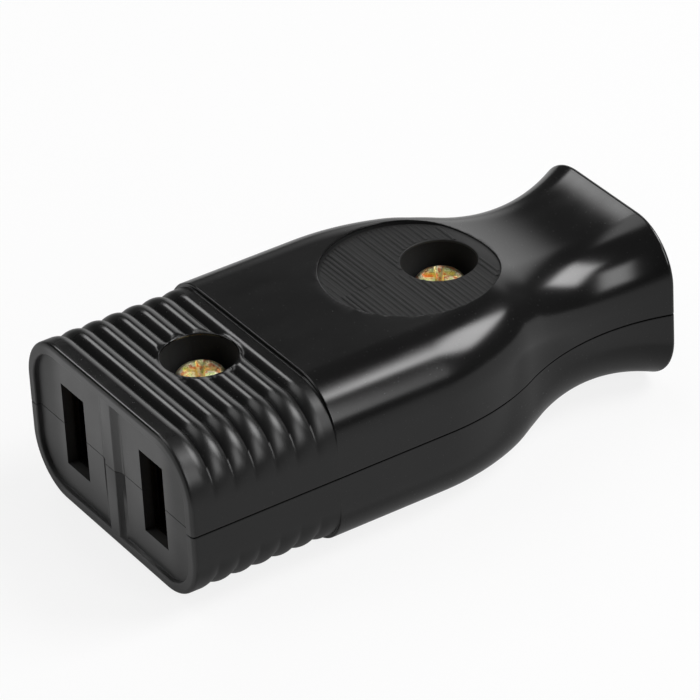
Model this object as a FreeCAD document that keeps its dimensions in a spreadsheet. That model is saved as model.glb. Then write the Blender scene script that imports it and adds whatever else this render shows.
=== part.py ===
import FreeCAD, Part
import math
import os

import Sketcher

# Two-pole in-line cord socket that opens along its middle seam.
# Y runs from the socket face to the tail, Z is up, and the origin lies under the middle of the body.

SIZES = (
    ("length", "52", "socket face to tail end"),
    ("body_width", "26.5", "widest, across the blades"),
    ("body_height", "16.3", "both halves together"),
    ("edge_radius", "5", "rounding of the long edges"),
    ("shoulder_from_tail", "26", "tail end to where the sides draw in"),
    ("waist_from_tail", "7", "narrowest place, from the tail end"),
    ("waist_width", "17.2", "narrowest width"),
    ("flare_radius", "19.5", "sweep of the waist seen from above"),
    ("drop_from_tail", "18", "tail end to where the top starts to drop"),
    ("dip_from_tail", "7.7", "lowest place of the top, from the tail end"),
    ("dip_drop", "1.4", "how far the top of each half drops at the dip"),
    ("dip_radius", "22.3", "sweep of the dip seen from the side"),
    ("end_bevel", "0.4", "broken edge of the rim and the tail"),
    ("seam_break", "0.14", "broken edge along the parting seam"),
    ("block_length", "14.5", "ribbed front part"),
    ("block_drop", "0.4", "ribbed part lies this much lower"),
    ("rib_first", "2.45", "face to the first groove"),
    ("rib_pitch", "2.03", "groove to groove"),
    ("rib_count", "6", "grooves on each half"),
    ("rib_depth", "0.45", "groove depth"),
    ("rib_width", "1.7", "groove width at the surface"),
    ("rib_neck", "0.8", "groove width under its sloping shoulders"),
    ("rib_shoulder", "0.14", "drop of the sloping shoulders"),
    ("rib_fade", "0.55", "how far the groove path leaves the side"),
    ("rim_width", "1.1", "rim around the socket face"),
    ("rim_depth", "0.45", "socket face behind the rim"),
    ("face_wall", "1.55", "wall the blades pass through"),
    ("blade_spacing", "12.7", "centre to centre of the blade slots"),
    ("slot_width", "3.7", "blade slot"),
    ("slot_height", "8.2", "blade slot"),
    ("middle_groove_width", "1.3", "upright groove between the slots"),
    ("middle_groove_depth", "0.3", "upright groove between the slots"),
    ("pad_diameter", "15.8", "round finger pad"),
    ("pad_from_tail", "21.1", "tail end to the pad centre"),
    ("pad_depth", "0.5", "finger pad below the body"),
    ("front_screw_at", "9.5", "face to the front case screw"),
    ("rear_screw_from_tail", "18", "tail end to the rear case screw"),
    ("screw_hole", "6.7", "counterbore for a case screw head"),
    ("screw_seat", "4.4", "seat of a case screw head above the seam"),
    ("screw_head", "4.6", "case screw head diameter"),
    ("screw_head_height", "1.8", "case screw head"),
    ("screw_crown", "0.7", "bevel around the top of a case screw head"),
    ("screw_shank", "2.9", "case screw diameter"),
    ("screw_length", "10", "case screw under its head"),
    ("screw_point", "1.6", "tapered point of a case screw"),
    ("cross_width", "0.8", "wings of the cross recess"),
    ("cross_span", "2.6", "cross recess tip to tip"),
    ("cross_depth", "1.1", "cross recess in a case screw"),
    ("hole_clearance", "0.25", "case screw in the upper half, each side"),
    ("thread_clearance", "0.06", "screw in its thread, each side"),
    ("tip_clearance", "0.6", "air under a screw tip"),
    ("boss_wall", "1.05", "wall around a counterbore"),
    ("cavity_depth", "4.5", "hollow of each half from the seam"),
    ("side_wall", "2.6", "outer wall at the hollow"),
    ("divider_width", "6.4", "wall between the contact chambers"),
    ("barrier_width", "2.4", "wall between the terminals"),
    ("chamber_length", "15", "contact chamber behind the face wall"),
    ("wire_way_from_tail", "12", "tail end to the end of the wire way"),
    ("cord_bore", "8", "cord inlet"),
    ("cord_mouth", "0.9", "flared mouth of the cord inlet"),
    ("inlet_length", "4.6", "round cord inlet behind its mouth"),
    ("grip_relief", "0.4", "cord way at the grip ribs, wider than the inlet, each side"),
    ("grip_height", "1.3", "cord grip rib"),
    ("grip_width", "1.2", "cord grip rib"),
    ("grip_from_tail", "6.6", "tail end to the last cord grip rib"),
    ("grip_pitch", "3", "rib to rib"),
    ("sheet", "0.7", "brass strip of a contact"),
    ("contact_clearance", "0.12", "contact strip in its bed"),
    ("mouth_gap", "3.3", "contact leaves at the mouth"),
    ("pinch_gap", "1.3", "contact leaves at the pinch"),
    ("root_gap", "2.4", "contact leaves where they leave the fold"),
    ("mouth_back", "0.5", "contact mouth behind the face wall"),
    ("pinch_back", "6", "contact pinch behind the mouth"),
    ("root_back", "10.5", "fold behind the mouth"),
    ("fold_length", "4.5", "folded part of a contact"),
    ("leaf_height", "7.8", "contact leaf"),
    ("tab_width", "6.8", "terminal tab"),
    ("tab_length", "9.5", "terminal tab behind the fold"),
    ("lug_length", "4.4", "upturned lug of a terminal tab"),
    ("lug_height", "2", "upturned lug of a terminal tab"),
    ("terminal_back", "5.2", "terminal screw behind the fold"),
    ("collar_wall", "0.75", "threaded collar under the tab"),
    ("collar_height", "1", "threaded collar under the tab"),
    ("terminal_head", "5.2", "terminal screw head diameter"),
    ("terminal_head_height", "1.7", "terminal screw head"),
    ("terminal_shank", "2.9", "terminal screw diameter"),
    ("terminal_length", "2.3", "terminal screw under its head"),
    ("terminal_point", "0.3", "bevelled end of a terminal screw"),
    ("driver_slot", "0.8", "driver slot of a terminal screw"),
    ("driver_slot_depth", "0.9", "driver slot of a terminal screw"),
    ("point_slope", "0.6", "taper of a screw point, across for each millimetre along"),
    ("overcut", "1", "how far a cut runs past the face it opens"),
)

doc = FreeCAD.newDocument("cord_socket")
dims = doc.addObject("Spreadsheet::Sheet", "dims")
for row, (alias, value, note) in enumerate(SIZES, start=1):
    dims.set(f"A{row}", note)
    dims.set(f"B{row}", value)
    dims.setAlias(f"B{row}", alias)
doc.recompute()

NAMES = sorted((alias for alias, _, _ in SIZES), key=len, reverse=True)


def linked(text):
    """Write an expression over sheet aliases the way a binding wants it."""
    words = []
    word = ""
    for letter in text + " ":
        if letter.isalnum() or letter == "_":
            word += letter
            continue
        words.append(f"dims.{word}" if word in NAMES else word)
        words.append(letter)
        word = ""
    return "".join(words).strip()


def number(text):
    """Value of an expression over sheet aliases."""
    return float(dims.evalExpression(linked(text)))


def bind(item, prop, text):
    """Drive a property of a document object from the sheet."""
    item.setExpression(prop, linked(text))


# Places along Y and heights used by several pieces, each derived from the sheet.
FACE = "(-length / 2)"
TAIL = "(length / 2)"
HALF = "(body_height / 2)"
INNER_FACE = f"({FACE} + rim_depth + face_wall)"
CHAMBER_END = f"({INNER_FACE} + chamber_length)"
FRONT_SCREW = f"({FACE} + front_screw_at)"
REAR_SCREW = f"({TAIL} - rear_screw_from_tail)"
SHOULDER = f"({TAIL} - shoulder_from_tail)"
WIRE_WAY_END = f"({TAIL} - wire_way_from_tail)"
BLOCK = f"({HALF} - block_drop)"
BOSS = "(screw_hole / 2 + boss_wall)"
INLET = "(cord_bore / 2)"
CORD_WAY = f"({INLET} + grip_relief)"
MOUTH = f"({INNER_FACE} + mouth_back)"
FOLD = f"({MOUTH} + root_back)"
TAB = f"({FOLD} + fold_length)"
TERMINAL = f"({TAB} + terminal_back)"
STRIP_TOP = "(-cavity_depth)"
STRIP_UNDER = "(-cavity_depth - sheet)"
POLE = "(blade_spacing / 2)"
COLLAR = "(terminal_shank / 2 + thread_clearance + collar_wall)"

# The points of a sketched line or arc, and how near two places have to be to count as one.
START, END, CENTRE = range(1, 4)
CLOSE = 0.01


class Drawing:
    """A sketch on one of its body's own planes, with every size bound to the sheet."""

    def __init__(self, body, name, role, offset=None):
        self.body = body
        self.sketch = body.newObject("Sketcher::SketchObject", name)
        planes = body.Origin.OriginFeatures
        plane = next(item for item in planes if item.Role == role)
        self.sketch.AttachmentSupport = [(plane, "")]
        self.sketch.MapMode = "FlatFace"
        if offset:
            bind(self.sketch, "AttachmentOffset.Base.z", offset)

    def line(self, start, end):
        """Add a line between two points given as expression pairs."""
        first = FreeCAD.Vector(number(start[0]), number(start[1]), 0)
        last = FreeCAD.Vector(number(end[0]), number(end[1]), 0)
        return self.sketch.addGeometry(Part.LineSegment(first, last))

    def arc(self, centre, radius, begin, stop):
        """Add an arc, counter-clockwise from angle begin to angle stop."""
        middle = FreeCAD.Vector(centre[0], centre[1], 0)
        circle = Part.Circle(middle, FreeCAD.Vector(0, 0, 1), radius)
        return self.sketch.addGeometry(Part.ArcOfCircle(circle, begin, stop))

    def tie(self, *link):
        """Add a constraint without a size."""
        self.sketch.addConstraint(Sketcher.Constraint(*link))

    def size(self, kind, item, point, text):
        """Add a constraint whose size is an expression over the sheet."""
        link = [kind, item, number(text)]
        if point:
            link.insert(2, point)
        index = self.sketch.addConstraint(Sketcher.Constraint(*link))
        name = f"{kind.lower()}_{index}"
        self.sketch.renameConstraint(index, name)
        bind(self.sketch, f"Constraints.{name}", text)

    def at(self, item, point, spot):
        """Hold a point at an expression pair."""
        self.size("DistanceX", item, point, spot[0])
        self.size("DistanceY", item, point, spot[1])

    def polygon(self, spots):
        """Draw a closed outline through expression pairs."""
        lines = [self.line(a, b) for a, b in zip(spots, spots[1:] + spots[:1])]
        for this, following, spot in zip(lines, lines[1:] + lines[:1], spots[1:] + spots[:1]):
            self.tie("Coincident", this, END, following, START)
            self.at(following, START, spot)
        return lines

    def box(self, left, right, low, high):
        """Draw a rectangle between four expressions."""
        return self.polygon([(left, low), (right, low), (right, high), (left, high)])

    def circle(self, centre, radius):
        """Draw a circle at an expression pair."""
        middle = FreeCAD.Vector(number(centre[0]), number(centre[1]), 0)
        shape = Part.Circle(middle, FreeCAD.Vector(0, 0, 1), number(radius))
        item = self.sketch.addGeometry(shape)
        self.at(item, CENTRE, centre)
        self.size("Radius", item, None, radius)
        return item

    def _feature(self, kind, name, length, reverse, through=False, both=False):
        feature = self.body.newObject(f"PartDesign::{kind}", name)
        feature.Profile = self.sketch
        if through:
            feature.Type = "ThroughAll"
        else:
            bind(feature, "Length", length)
        if both:
            feature.SideType = "Symmetric"
        feature.Reversed = reverse
        doc.recompute()
        return feature

    def pad(self, name, length, reverse=False, both=False):
        """Add the drawing as material."""
        return self._feature("Pad", name, length, reverse, both=both)

    def pocket(self, name, length=None, reverse=False, both=False):
        """Cut the drawing out; without a length the cut goes right through."""
        return self._feature("Pocket", name, length, reverse, through=length is None, both=both)

    def revolve(self, name):
        """Turn the drawing around its own upright axis."""
        feature = self.body.newObject("PartDesign::Revolution", name)
        feature.Profile = self.sketch
        feature.ReferenceAxis = (self.sketch, ["V_Axis"])
        feature.Angle = 360
        doc.recompute()
        return feature


def new_body(label):
    """Start a sub-part."""
    body = doc.addObject("PartDesign::Body", label)
    body.Label = label
    return body


def edges_where(feature, test):
    """Names of the edges of a feature that pass a test on the edge."""
    return [f"Edge{i}" for i, edge in enumerate(feature.Shape.Edges, start=1) if test(edge)]


def dress(body, kind, name, base, edges, size_prop, text):
    """Round or bevel edges of the feature before."""
    feature = body.newObject(f"PartDesign::{kind}", name)
    feature.Base = (base, edges)
    bind(feature, size_prop, text)
    doc.recompute()
    return feature


def middle(edge):
    """Point halfway along an edge."""
    return edge.valueAt((edge.FirstParameter + edge.LastParameter) / 2)


def plan_outline(body):
    """Outline from above: straight sides, drawn-in shoulders, waist and flared tail."""
    drawing = Drawing(body, "plan", "XY_Plane")
    tie = drawing.tie
    reach = "(waist_width / 2 + flare_radius)"
    waist = f"({TAIL} - waist_from_tail)"
    width = number("body_width / 2")
    sweep = number("flare_radius")
    run = number(f"{waist} - {SHOULDER}")
    gap = number(f"{reach} - body_width / 2")
    bend = (run ** 2 + gap ** 2 - sweep ** 2) / (2 * (sweep - gap))
    turn = math.atan2(run, gap + bend)
    flare = math.asin(number("waist_from_tail") / sweep)
    face = drawing.line(("-body_width / 2", FACE), ("body_width / 2", FACE))
    drawing.at(face, START, ("-body_width / 2", FACE))
    drawing.at(face, END, ("body_width / 2", FACE))
    ends = []
    for side, face_end in ((1, END), (-1, START)):
        edge = f"({side} * body_width / 2)"
        straight = drawing.line((edge, FACE), (edge, SHOULDER))
        centre_in = (side * (width - bend), number(SHOULDER))
        centre_out = (side * number(reach), number(waist))
        if side > 0:
            convex = drawing.arc(centre_in, bend, 0, turn)
            concave = drawing.arc(centre_out, sweep, math.pi - flare, math.pi + turn)
            first, last = START, END
        else:
            convex = drawing.arc(centre_in, bend, math.pi - turn, math.pi)
            concave = drawing.arc(centre_out, sweep, -turn, flare)
            first, last = END, START
        tie("Coincident", face, face_end, straight, START)
        tie("Vertical", straight)
        drawing.size("DistanceY", straight, END, SHOULDER)
        tie("Tangent", straight, END, convex, first)
        tie("Tangent", convex, last, concave, last)
        drawing.at(concave, CENTRE, (f"{side} * {reach}", waist))
        drawing.size("Radius", concave, None, "flare_radius")
        ends.append((concave, first))
    tail = drawing.line(("waist_width / 2", TAIL), ("-waist_width / 2", TAIL))
    tie("Coincident", tail, START, *ends[0])
    tie("Coincident", tail, END, *ends[1])
    tie("Horizontal", tail)
    drawing.size("DistanceY", tail, START, TAIL)
    return drawing


def side_outline(body, up):
    """What lies beyond the top seen from the side: flat, shoulder and dip."""
    drawing = Drawing(body, "side", "YZ_Plane")
    tie = drawing.tie
    sign = "" if up else "-"
    flip = 1 if up else -1
    before = f"({FACE} - overcut)"
    behind = f"({TAIL} + overcut)"
    above = f"{sign}({HALF} + 2 * overcut)"
    level = f"{sign}{HALF}"
    start = f"({TAIL} - drop_from_tail)"
    dip = f"({TAIL} - dip_from_tail)"
    reach = f"({HALF} - dip_drop + dip_radius)"
    sweep = number("dip_radius")
    run = number(f"{dip} - {start}")
    gap = number(f"{reach} - {HALF}")
    bend = (run ** 2 + gap ** 2 - sweep ** 2) / (2 * (sweep - gap))
    turn = math.atan2(gap + bend, run)
    rise = math.asin(number(f"{behind} - {dip}") / sweep)
    right = math.pi / 2
    flat = drawing.line((before, level), (start, level))
    centre_in = (number(start), flip * (number(HALF) - bend))
    centre_out = (number(dip), flip * number(reach))
    if up:
        convex = drawing.arc(centre_in, bend, turn, right)
        concave = drawing.arc(centre_out, sweep, math.pi + turn, 3 * right + rise)
        first, last = END, START
    else:
        convex = drawing.arc(centre_in, bend, -right, -turn)
        concave = drawing.arc(centre_out, sweep, right - rise, math.pi - turn)
        first, last = START, END
    back = drawing.line((behind, level), (behind, above))
    top = drawing.line((behind, above), (before, above))
    front = drawing.line((before, above), (before, level))
    drawing.at(flat, START, (before, level))
    tie("Horizontal", flat)
    drawing.size("DistanceX", flat, END, start)
    tie("Tangent", flat, END, convex, first)
    tie("Tangent", convex, last, concave, last)
    drawing.at(concave, CENTRE, (dip, f"{sign}{reach}"))
    drawing.size("Radius", concave, None, "dip_radius")
    tie("Coincident", concave, first, back, START)
    tie("Vertical", back)
    tie("Coincident", back, END, top, START)
    drawing.at(top, START, (behind, above))
    tie("Coincident", top, END, front, START)
    tie("Coincident", front, END, flat, START)
    drawing.at(top, END, (before, above))
    return drawing


def hood_arcs(drawing, up, half_width, height, radius):
    """Two rounded corners joined by a level line; returns the line and the corner feet."""
    flip = 1 if up else -1
    sign = "" if up else "-"
    right = math.pi / 2
    reach = number(f"{half_width} - {radius}")
    level = flip * number(f"{height} - {radius}")
    bend = number(radius)
    crown = drawing.line((f"{half_width} - {radius}", f"{sign}{height}"),
                         (f"{radius} - {half_width}", f"{sign}{height}"))
    feet = []
    for side, crown_end in ((1, START), (-1, END)):
        begin = {(1, 1): 0, (-1, 1): right, (1, -1): -right, (-1, -1): 2 * right}[side, flip]
        corner = drawing.arc((side * reach, level), bend, begin, begin + right)
        joint, foot = (END, START) if side * flip > 0 else (START, END)
        drawing.tie("Tangent", crown, crown_end, corner, joint)
        drawing.size("Radius", corner, None, radius)
        drawing.size("DistanceX", corner, CENTRE, f"{side} * ({half_width} - {radius})")
        drawing.tie("Horizontal", corner, CENTRE, corner, foot)
        feet.append((corner, foot))
    drawing.tie("Horizontal", crown)
    drawing.size("DistanceY", crown, START, f"{sign}{height}")
    return feet


def block_outline(body, up):
    """What lies outside the lower ribbed block, seen from the face."""
    drawing = Drawing(body, "block", "XZ_Plane", f"-{FACE} + overcut")
    sign = "" if up else "-"
    feet = hood_arcs(drawing, up, "(body_width / 2)", BLOCK, "edge_radius")
    ledge = f"{sign}({BLOCK} - edge_radius)"
    above = f"{sign}({HALF} + 2 * overcut)"
    far = "(body_width / 2 + overcut)"
    chain = [("body_width / 2", ledge), (far, ledge), (far, above),
             (f"-{far}", above), (f"-{far}", ledge), ("-body_width / 2", ledge)]
    lines = [drawing.line(a, b) for a, b in zip(chain, chain[1:])]
    for this, following, spot in zip(lines, lines[1:], chain[1:]):
        drawing.tie("Coincident", this, END, following, START)
        drawing.at(following, START, spot)
    drawing.tie("Coincident", lines[0], START, *feet[0])
    drawing.tie("Coincident", lines[-1], END, *feet[1])
    return drawing


def rim_outline(body, up):
    """Inside of the rim around the socket face."""
    drawing = Drawing(body, "rim", "XZ_Plane", f"-{FACE} + overcut")
    sign = "-" if up else ""
    inner = "(body_width / 2 - rim_width)"
    feet = hood_arcs(drawing, up, inner, f"({BLOCK} - rim_width)", "(edge_radius - rim_width)")
    ground = f"{sign}overcut"
    spots = [(inner, ground), (f"-{inner}", ground)]
    base = drawing.line(*spots)
    drawing.at(base, START, spots[0])
    drawing.at(base, END, spots[1])
    for end, foot, spot in ((START, feet[0], spots[0]), (END, feet[1], spots[1])):
        post = drawing.line(spot, (spot[0], "0"))
        drawing.tie("Coincident", base, end, post, START)
        drawing.tie("Coincident", post, END, *foot)
    return drawing


def ribs(body, up):
    """Grooves that wrap over the block and fade out on its sides."""
    sign = "" if up else "-"
    flip = 1 if up else -1
    right = math.pi / 2
    place = f"({FACE} + rib_first)"
    profile = Drawing(body, "rib_section", "YZ_Plane")
    flank = [("(rib_width - rib_neck / 2)", f"{BLOCK} + rib_shoulder"),
             ("(rib_neck / 2)", f"{BLOCK} - rib_shoulder")]
    outline = [(f"{place} + {x}", f"{sign}({z})") for x, z in flank]
    outline.append((place, f"{sign}({BLOCK} - rib_depth)"))
    outline += [(f"{place} - {x}", f"{sign}({z})") for x, z in reversed(flank)]
    profile.polygon(outline)
    path = Drawing(body, "rib_path", "XZ_Plane", f"-{place}")
    bend_start = "(body_width / 2 - edge_radius)"
    sweep = "(edge_radius + rib_fade)"
    over = path.line(("0", f"{sign}{BLOCK}"), (bend_start, f"{sign}{BLOCK}"))
    centre = (number(bend_start), flip * number(f"{BLOCK} - {sweep}"))
    down = path.arc(centre, number(sweep), min(0, -right * (1 - flip) / 2), right * (1 + flip) / 2)
    joint, foot = (END, START) if up else (START, END)
    path.at(over, START, ("0", f"{sign}{BLOCK}"))
    path.tie("Horizontal", over)
    path.size("DistanceX", over, END, bend_start)
    path.tie("Tangent", over, END, down, joint)
    path.size("Radius", down, None, sweep)
    path.tie("Horizontal", down, CENTRE, down, foot)
    doc.recompute()
    groove = body.newObject("PartDesign::SubtractivePipe", "rib_groove")
    groove.Profile = profile.sketch
    groove.Spine = (path.sketch, ["Edge1", "Edge2"])
    doc.recompute()
    features = body.Origin.OriginFeatures
    across = body.newObject("PartDesign::Mirrored", "rib_other_side")
    across.MirrorPlane = (next(item for item in features if item.Role == "YZ_Plane"), [""])
    along = body.newObject("PartDesign::LinearPattern", "rib_row")
    along.Direction = (next(item for item in features if item.Role == "Y_Axis"), [""])
    bind(along, "Length", "rib_pitch * (rib_count - 1)")
    bind(along, "Occurrences", "rib_count")
    both = body.newObject("PartDesign::MultiTransform", "rib_set")
    both.Originals = [groove]
    both.Transformations = [across, along]
    body.Tip = both
    doc.recompute()
    return both


def outer_form(body, up):
    """Outside of one half: outline, side sweep, long roundings, lower block and pad."""
    drop = not up
    plan_outline(body).pad("blank", f"{HALF} + overcut", reverse=drop)
    swept = side_outline(body, up).pocket("top_sweep", "body_width + 2 * overcut", both=True)
    low = number(HALF) / 2
    end_places = (number(FACE), number(TAIL))

    def long_edge(edge):
        return edge.BoundBox.YLength > CLOSE and abs(middle(edge).z) > low

    def end_edge(edge):
        away = min(abs(middle(edge).y - place) for place in end_places)
        return max(away, edge.BoundBox.YLength) < CLOSE < abs(middle(edge).z)

    def seam_line(edge):
        return max(edge.BoundBox.ZLength, abs(middle(edge).z)) < CLOSE

    long_edges = edges_where(swept, long_edge)
    dress(body, "Fillet", "long_rounding", swept, long_edges, "Radius", "edge_radius")
    block = block_outline(body, up).pocket("block_step", "block_length + overcut")
    ends = dress(body, "Chamfer", "end_bevel", block, edges_where(block, end_edge), "Size", "end_bevel")
    dress(body, "Chamfer", "seam_edge", ends, edges_where(ends, seam_line), "Size", "seam_break")
    pad = Drawing(body, "pad", "XY_Plane", f"{'' if up else '-'}({HALF} - pad_depth)")
    pad.circle(("0", f"{TAIL} - pad_from_tail"), "pad_diameter / 2")
    pad.pocket("finger_pad", reverse=up)
    ribs(body, up)


def socket_face(body, up):
    """Rim, blade slots and the upright groove between them."""
    rim_outline(body, up).pocket("face_recess", "rim_depth + overcut")
    sign = "" if up else "-"
    ground = "-overcut" if up else "overcut"
    slots = Drawing(body, "slots", "XZ_Plane", f"-{FACE} + overcut")
    reach = f"{sign}slot_height / 2"
    for side in ("", "-"):
        pole = f"{side}{POLE}"
        slots.box(f"{pole} - slot_width / 2", f"{pole} + slot_width / 2", ground, reach)
    slots.pocket("blade_slots", "rim_depth + face_wall + 2 * overcut")
    groove = Drawing(body, "upright", "XZ_Plane", f"-{FACE} + overcut")
    half = "middle_groove_width / 2"
    groove.box(f"-{half}", half, ground, f"{sign}({BLOCK} - rim_width)")
    groove.pocket("middle_groove", "rim_depth + middle_groove_depth + overcut")


def cord_inlet(body):
    """Round inlet with a flared mouth, opening into the wider cord way that leads to the wires."""
    drawing = Drawing(body, "inlet", "XY_Plane")
    wide = f"({INLET} + cord_mouth)"
    end = f"({WIRE_WAY_END} - overcut)"
    beyond = f"({TAIL} + overcut)"
    throat = f"({TAIL} - cord_mouth)"
    step = f"({throat} - inlet_length)"
    drawing.polygon([("0", end), (CORD_WAY, end), (CORD_WAY, step), (INLET, step),
                     (INLET, throat), (wide, TAIL), (wide, beyond), ("0", beyond)])
    feature = body.newObject("PartDesign::Groove", "cord_bore")
    feature.Profile = drawing.sketch
    feature.ReferenceAxis = (drawing.sketch, ["V_Axis"])
    feature.Angle = 360
    doc.recompute()


def hollow(body, up):
    """Contact chambers, wire way, bosses and the gripped cord way."""
    wall = "(body_width / 2 - side_wall)"
    sign = "" if up else "-"
    chambers = Drawing(body, "chambers", "XY_Plane")
    for side in (1, -1):
        near = f"{side} * divider_width / 2"
        far = f"{side} * {wall}"
        chambers.box(near, far, INNER_FACE, f"{CHAMBER_END} + overcut")
    chambers.pocket("contact_chambers", "cavity_depth", reverse=up)
    way = Drawing(body, "way", "XY_Plane")
    bend = f"({SHOULDER} + side_wall)"
    way.polygon([(wall, CHAMBER_END), (wall, bend), (CORD_WAY, WIRE_WAY_END),
                 (f"-{CORD_WAY}", WIRE_WAY_END), (f"-{wall}", bend), (f"-{wall}", CHAMBER_END)])
    way.pocket("wire_way", "cavity_depth", reverse=up)
    barrier = Drawing(body, "barrier", "XY_Plane")
    near, far = f"{CHAMBER_END} - overcut", f"{REAR_SCREW} - {BOSS} + overcut"
    barrier.box("-barrier_width / 2", "barrier_width / 2", near, far)
    barrier.pad("terminal_barrier", "cavity_depth + sheet / 2", reverse=not up)
    bosses = Drawing(body, "bosses", "XY_Plane")
    bosses.circle(("0", FRONT_SCREW), BOSS)
    bosses.circle(("0", REAR_SCREW), BOSS)
    bosses.pad("screw_bosses", "cavity_depth + sheet / 2", reverse=not up)
    cord_inlet(body)
    grip = Drawing(body, "grip", "XZ_Plane", f"-({TAIL} - grip_from_tail)")
    level = f"({INLET} - grip_height)"
    reach = f"({CORD_WAY} + grip_height / 4)"
    spread = math.acos(number(f"{level} / {reach}"))
    half_turn = math.pi / 2 if up else -math.pi / 2
    arc = grip.arc((0, 0), number(reach), half_turn - spread, half_turn + spread)
    chord = grip.line((f"{reach}", f"{sign}{level}"), (f"-{reach}", f"{sign}{level}"))
    grip.at(arc, CENTRE, ("0", "0"))
    grip.size("Radius", arc, None, reach)
    grip.tie("Coincident", chord, START, arc, START if up else END)
    grip.tie("Coincident", chord, END, arc, END if up else START)
    grip.tie("Horizontal", chord)
    grip.size("DistanceY", chord, START, f"{sign}{level}")
    rib = grip.pad("cord_grip", "grip_width")
    row = body.newObject("PartDesign::LinearPattern", "cord_grips")
    row.Originals = [rib]
    axis = next(item for item in body.Origin.OriginFeatures if item.Role == "Y_Axis")
    row.Direction = (axis, [""])
    row.Reversed = True
    bind(row, "Length", "grip_pitch")
    row.Occurrences = 2
    body.Tip = row
    doc.recompute()


def upper_shell():
    """Upper half, with the counterbored screw holes."""
    body = new_body("upper_shell")
    outer_form(body, True)
    socket_face(body, True)
    hollow(body, True)
    stops = Drawing(body, "stops", "XY_Plane", "leaf_height / 2 + contact_clearance")
    for side in ("", "-"):
        pole = f"{side}{POLE}"
        stops.box(f"{pole} - root_gap / 2 - sheet", f"{pole} + root_gap / 2 + sheet",
                  f"{FOLD} + fold_length / 4", f"{FOLD} + fold_length * 3 / 4")
    stops.pad("contact_stops", "cavity_depth - leaf_height / 2 + contact_clearance")
    heads = Drawing(body, "heads", "XY_Plane", "screw_seat")
    holes = Drawing(body, "holes", "XY_Plane")
    for place in (FRONT_SCREW, REAR_SCREW):
        heads.circle(("0", place), "screw_hole / 2")
        holes.circle(("0", place), "screw_shank / 2 + hole_clearance")
    heads.pocket("counterbores", reverse=True)
    holes.pocket("clearance_holes", reverse=True)
    bind(body, "Placement.Base.z", HALF)
    return body


def lower_shell():
    """Lower half, with the contact beds and the blind screw bosses."""
    body = new_body("lower_shell")
    outer_form(body, False)
    socket_face(body, False)
    hollow(body, False)
    gap = "contact_clearance"
    beds = Drawing(body, "beds", "XY_Plane")
    reliefs = Drawing(body, "reliefs", "XY_Plane")
    for side in ("", "-"):
        pole = f"{side}{POLE}"
        narrow = f"(root_gap / 2 + sheet + {gap})"
        wide = f"(tab_width / 2 + {gap})"
        back = f"{TAB} + tab_length + {gap}"
        beds.polygon([(f"{pole} - {narrow}", f"{FOLD} - {gap}"), (f"{pole} + {narrow}", f"{FOLD} - {gap}"),
                      (f"{pole} + {narrow}", f"{TAB} - {gap}"), (f"{pole} + {wide}", f"{TAB} - {gap}"),
                      (f"{pole} + {wide}", back), (f"{pole} - {wide}", back),
                      (f"{pole} - {wide}", f"{TAB} - {gap}"), (f"{pole} - {narrow}", f"{TAB} - {gap}")])
        reliefs.circle((pole, TERMINAL), f"{COLLAR} + 2 * {gap}")
    beds.pocket("contact_beds", "cavity_depth + sheet")
    reliefs.pocket("terminal_reliefs", "cavity_depth + terminal_length + tip_clearance")
    pilots = Drawing(body, "pilots", "XY_Plane")
    for place in (FRONT_SCREW, REAR_SCREW):
        pilots.circle(("0", place), "screw_shank / 2 + thread_clearance")
    pilots.pocket("pilot_holes", "screw_length - screw_seat + tip_clearance")
    bind(body, "Placement.Base.z", HALF)
    return body


def screw_blank(body, head, shank, length, point):
    """Turned screw: its head above the seat as given, shank and point below."""
    drawing = Drawing(body, "turning", "XZ_Plane")
    side = f"{shank} / 2"
    tip = f"({side} - {point} * point_slope)"
    below = [("0", f"-{length}"), (tip, f"-{length}"), (side, f"{point} - {length}"), (side, "0")]
    drawing.polygon(below + head)
    return drawing.revolve("turned")


def case_screw(label, place):
    """Self-tapping case screw with a cross recess."""
    body = new_body(label)
    pan = [("screw_head / 2", "0"), ("screw_head / 2", "screw_head_height - screw_crown"),
           ("screw_head / 2 - screw_crown", "screw_head_height"), ("0", "screw_head_height")]
    screw_blank(body, pan, "screw_shank", "screw_length", "screw_point")
    cross = Drawing(body, "cross", "XY_Plane", "screw_head_height")
    near, far = "cross_width / 2", "cross_span / 2"
    quarter = [(near, f"-{far}"), (near, f"-{near}"), (far, f"-{near}")]
    right = quarter + [(x, y.lstrip("-")) for x, y in reversed(quarter)]
    cross.polygon(right + [(f"-{x}", y) for x, y in reversed(right)])
    cross.pocket("cross_recess", "cross_depth")
    bind(body, "Placement.Base.y", place)
    bind(body, "Placement.Base.z", f"{HALF} + screw_seat")
    return body


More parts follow.
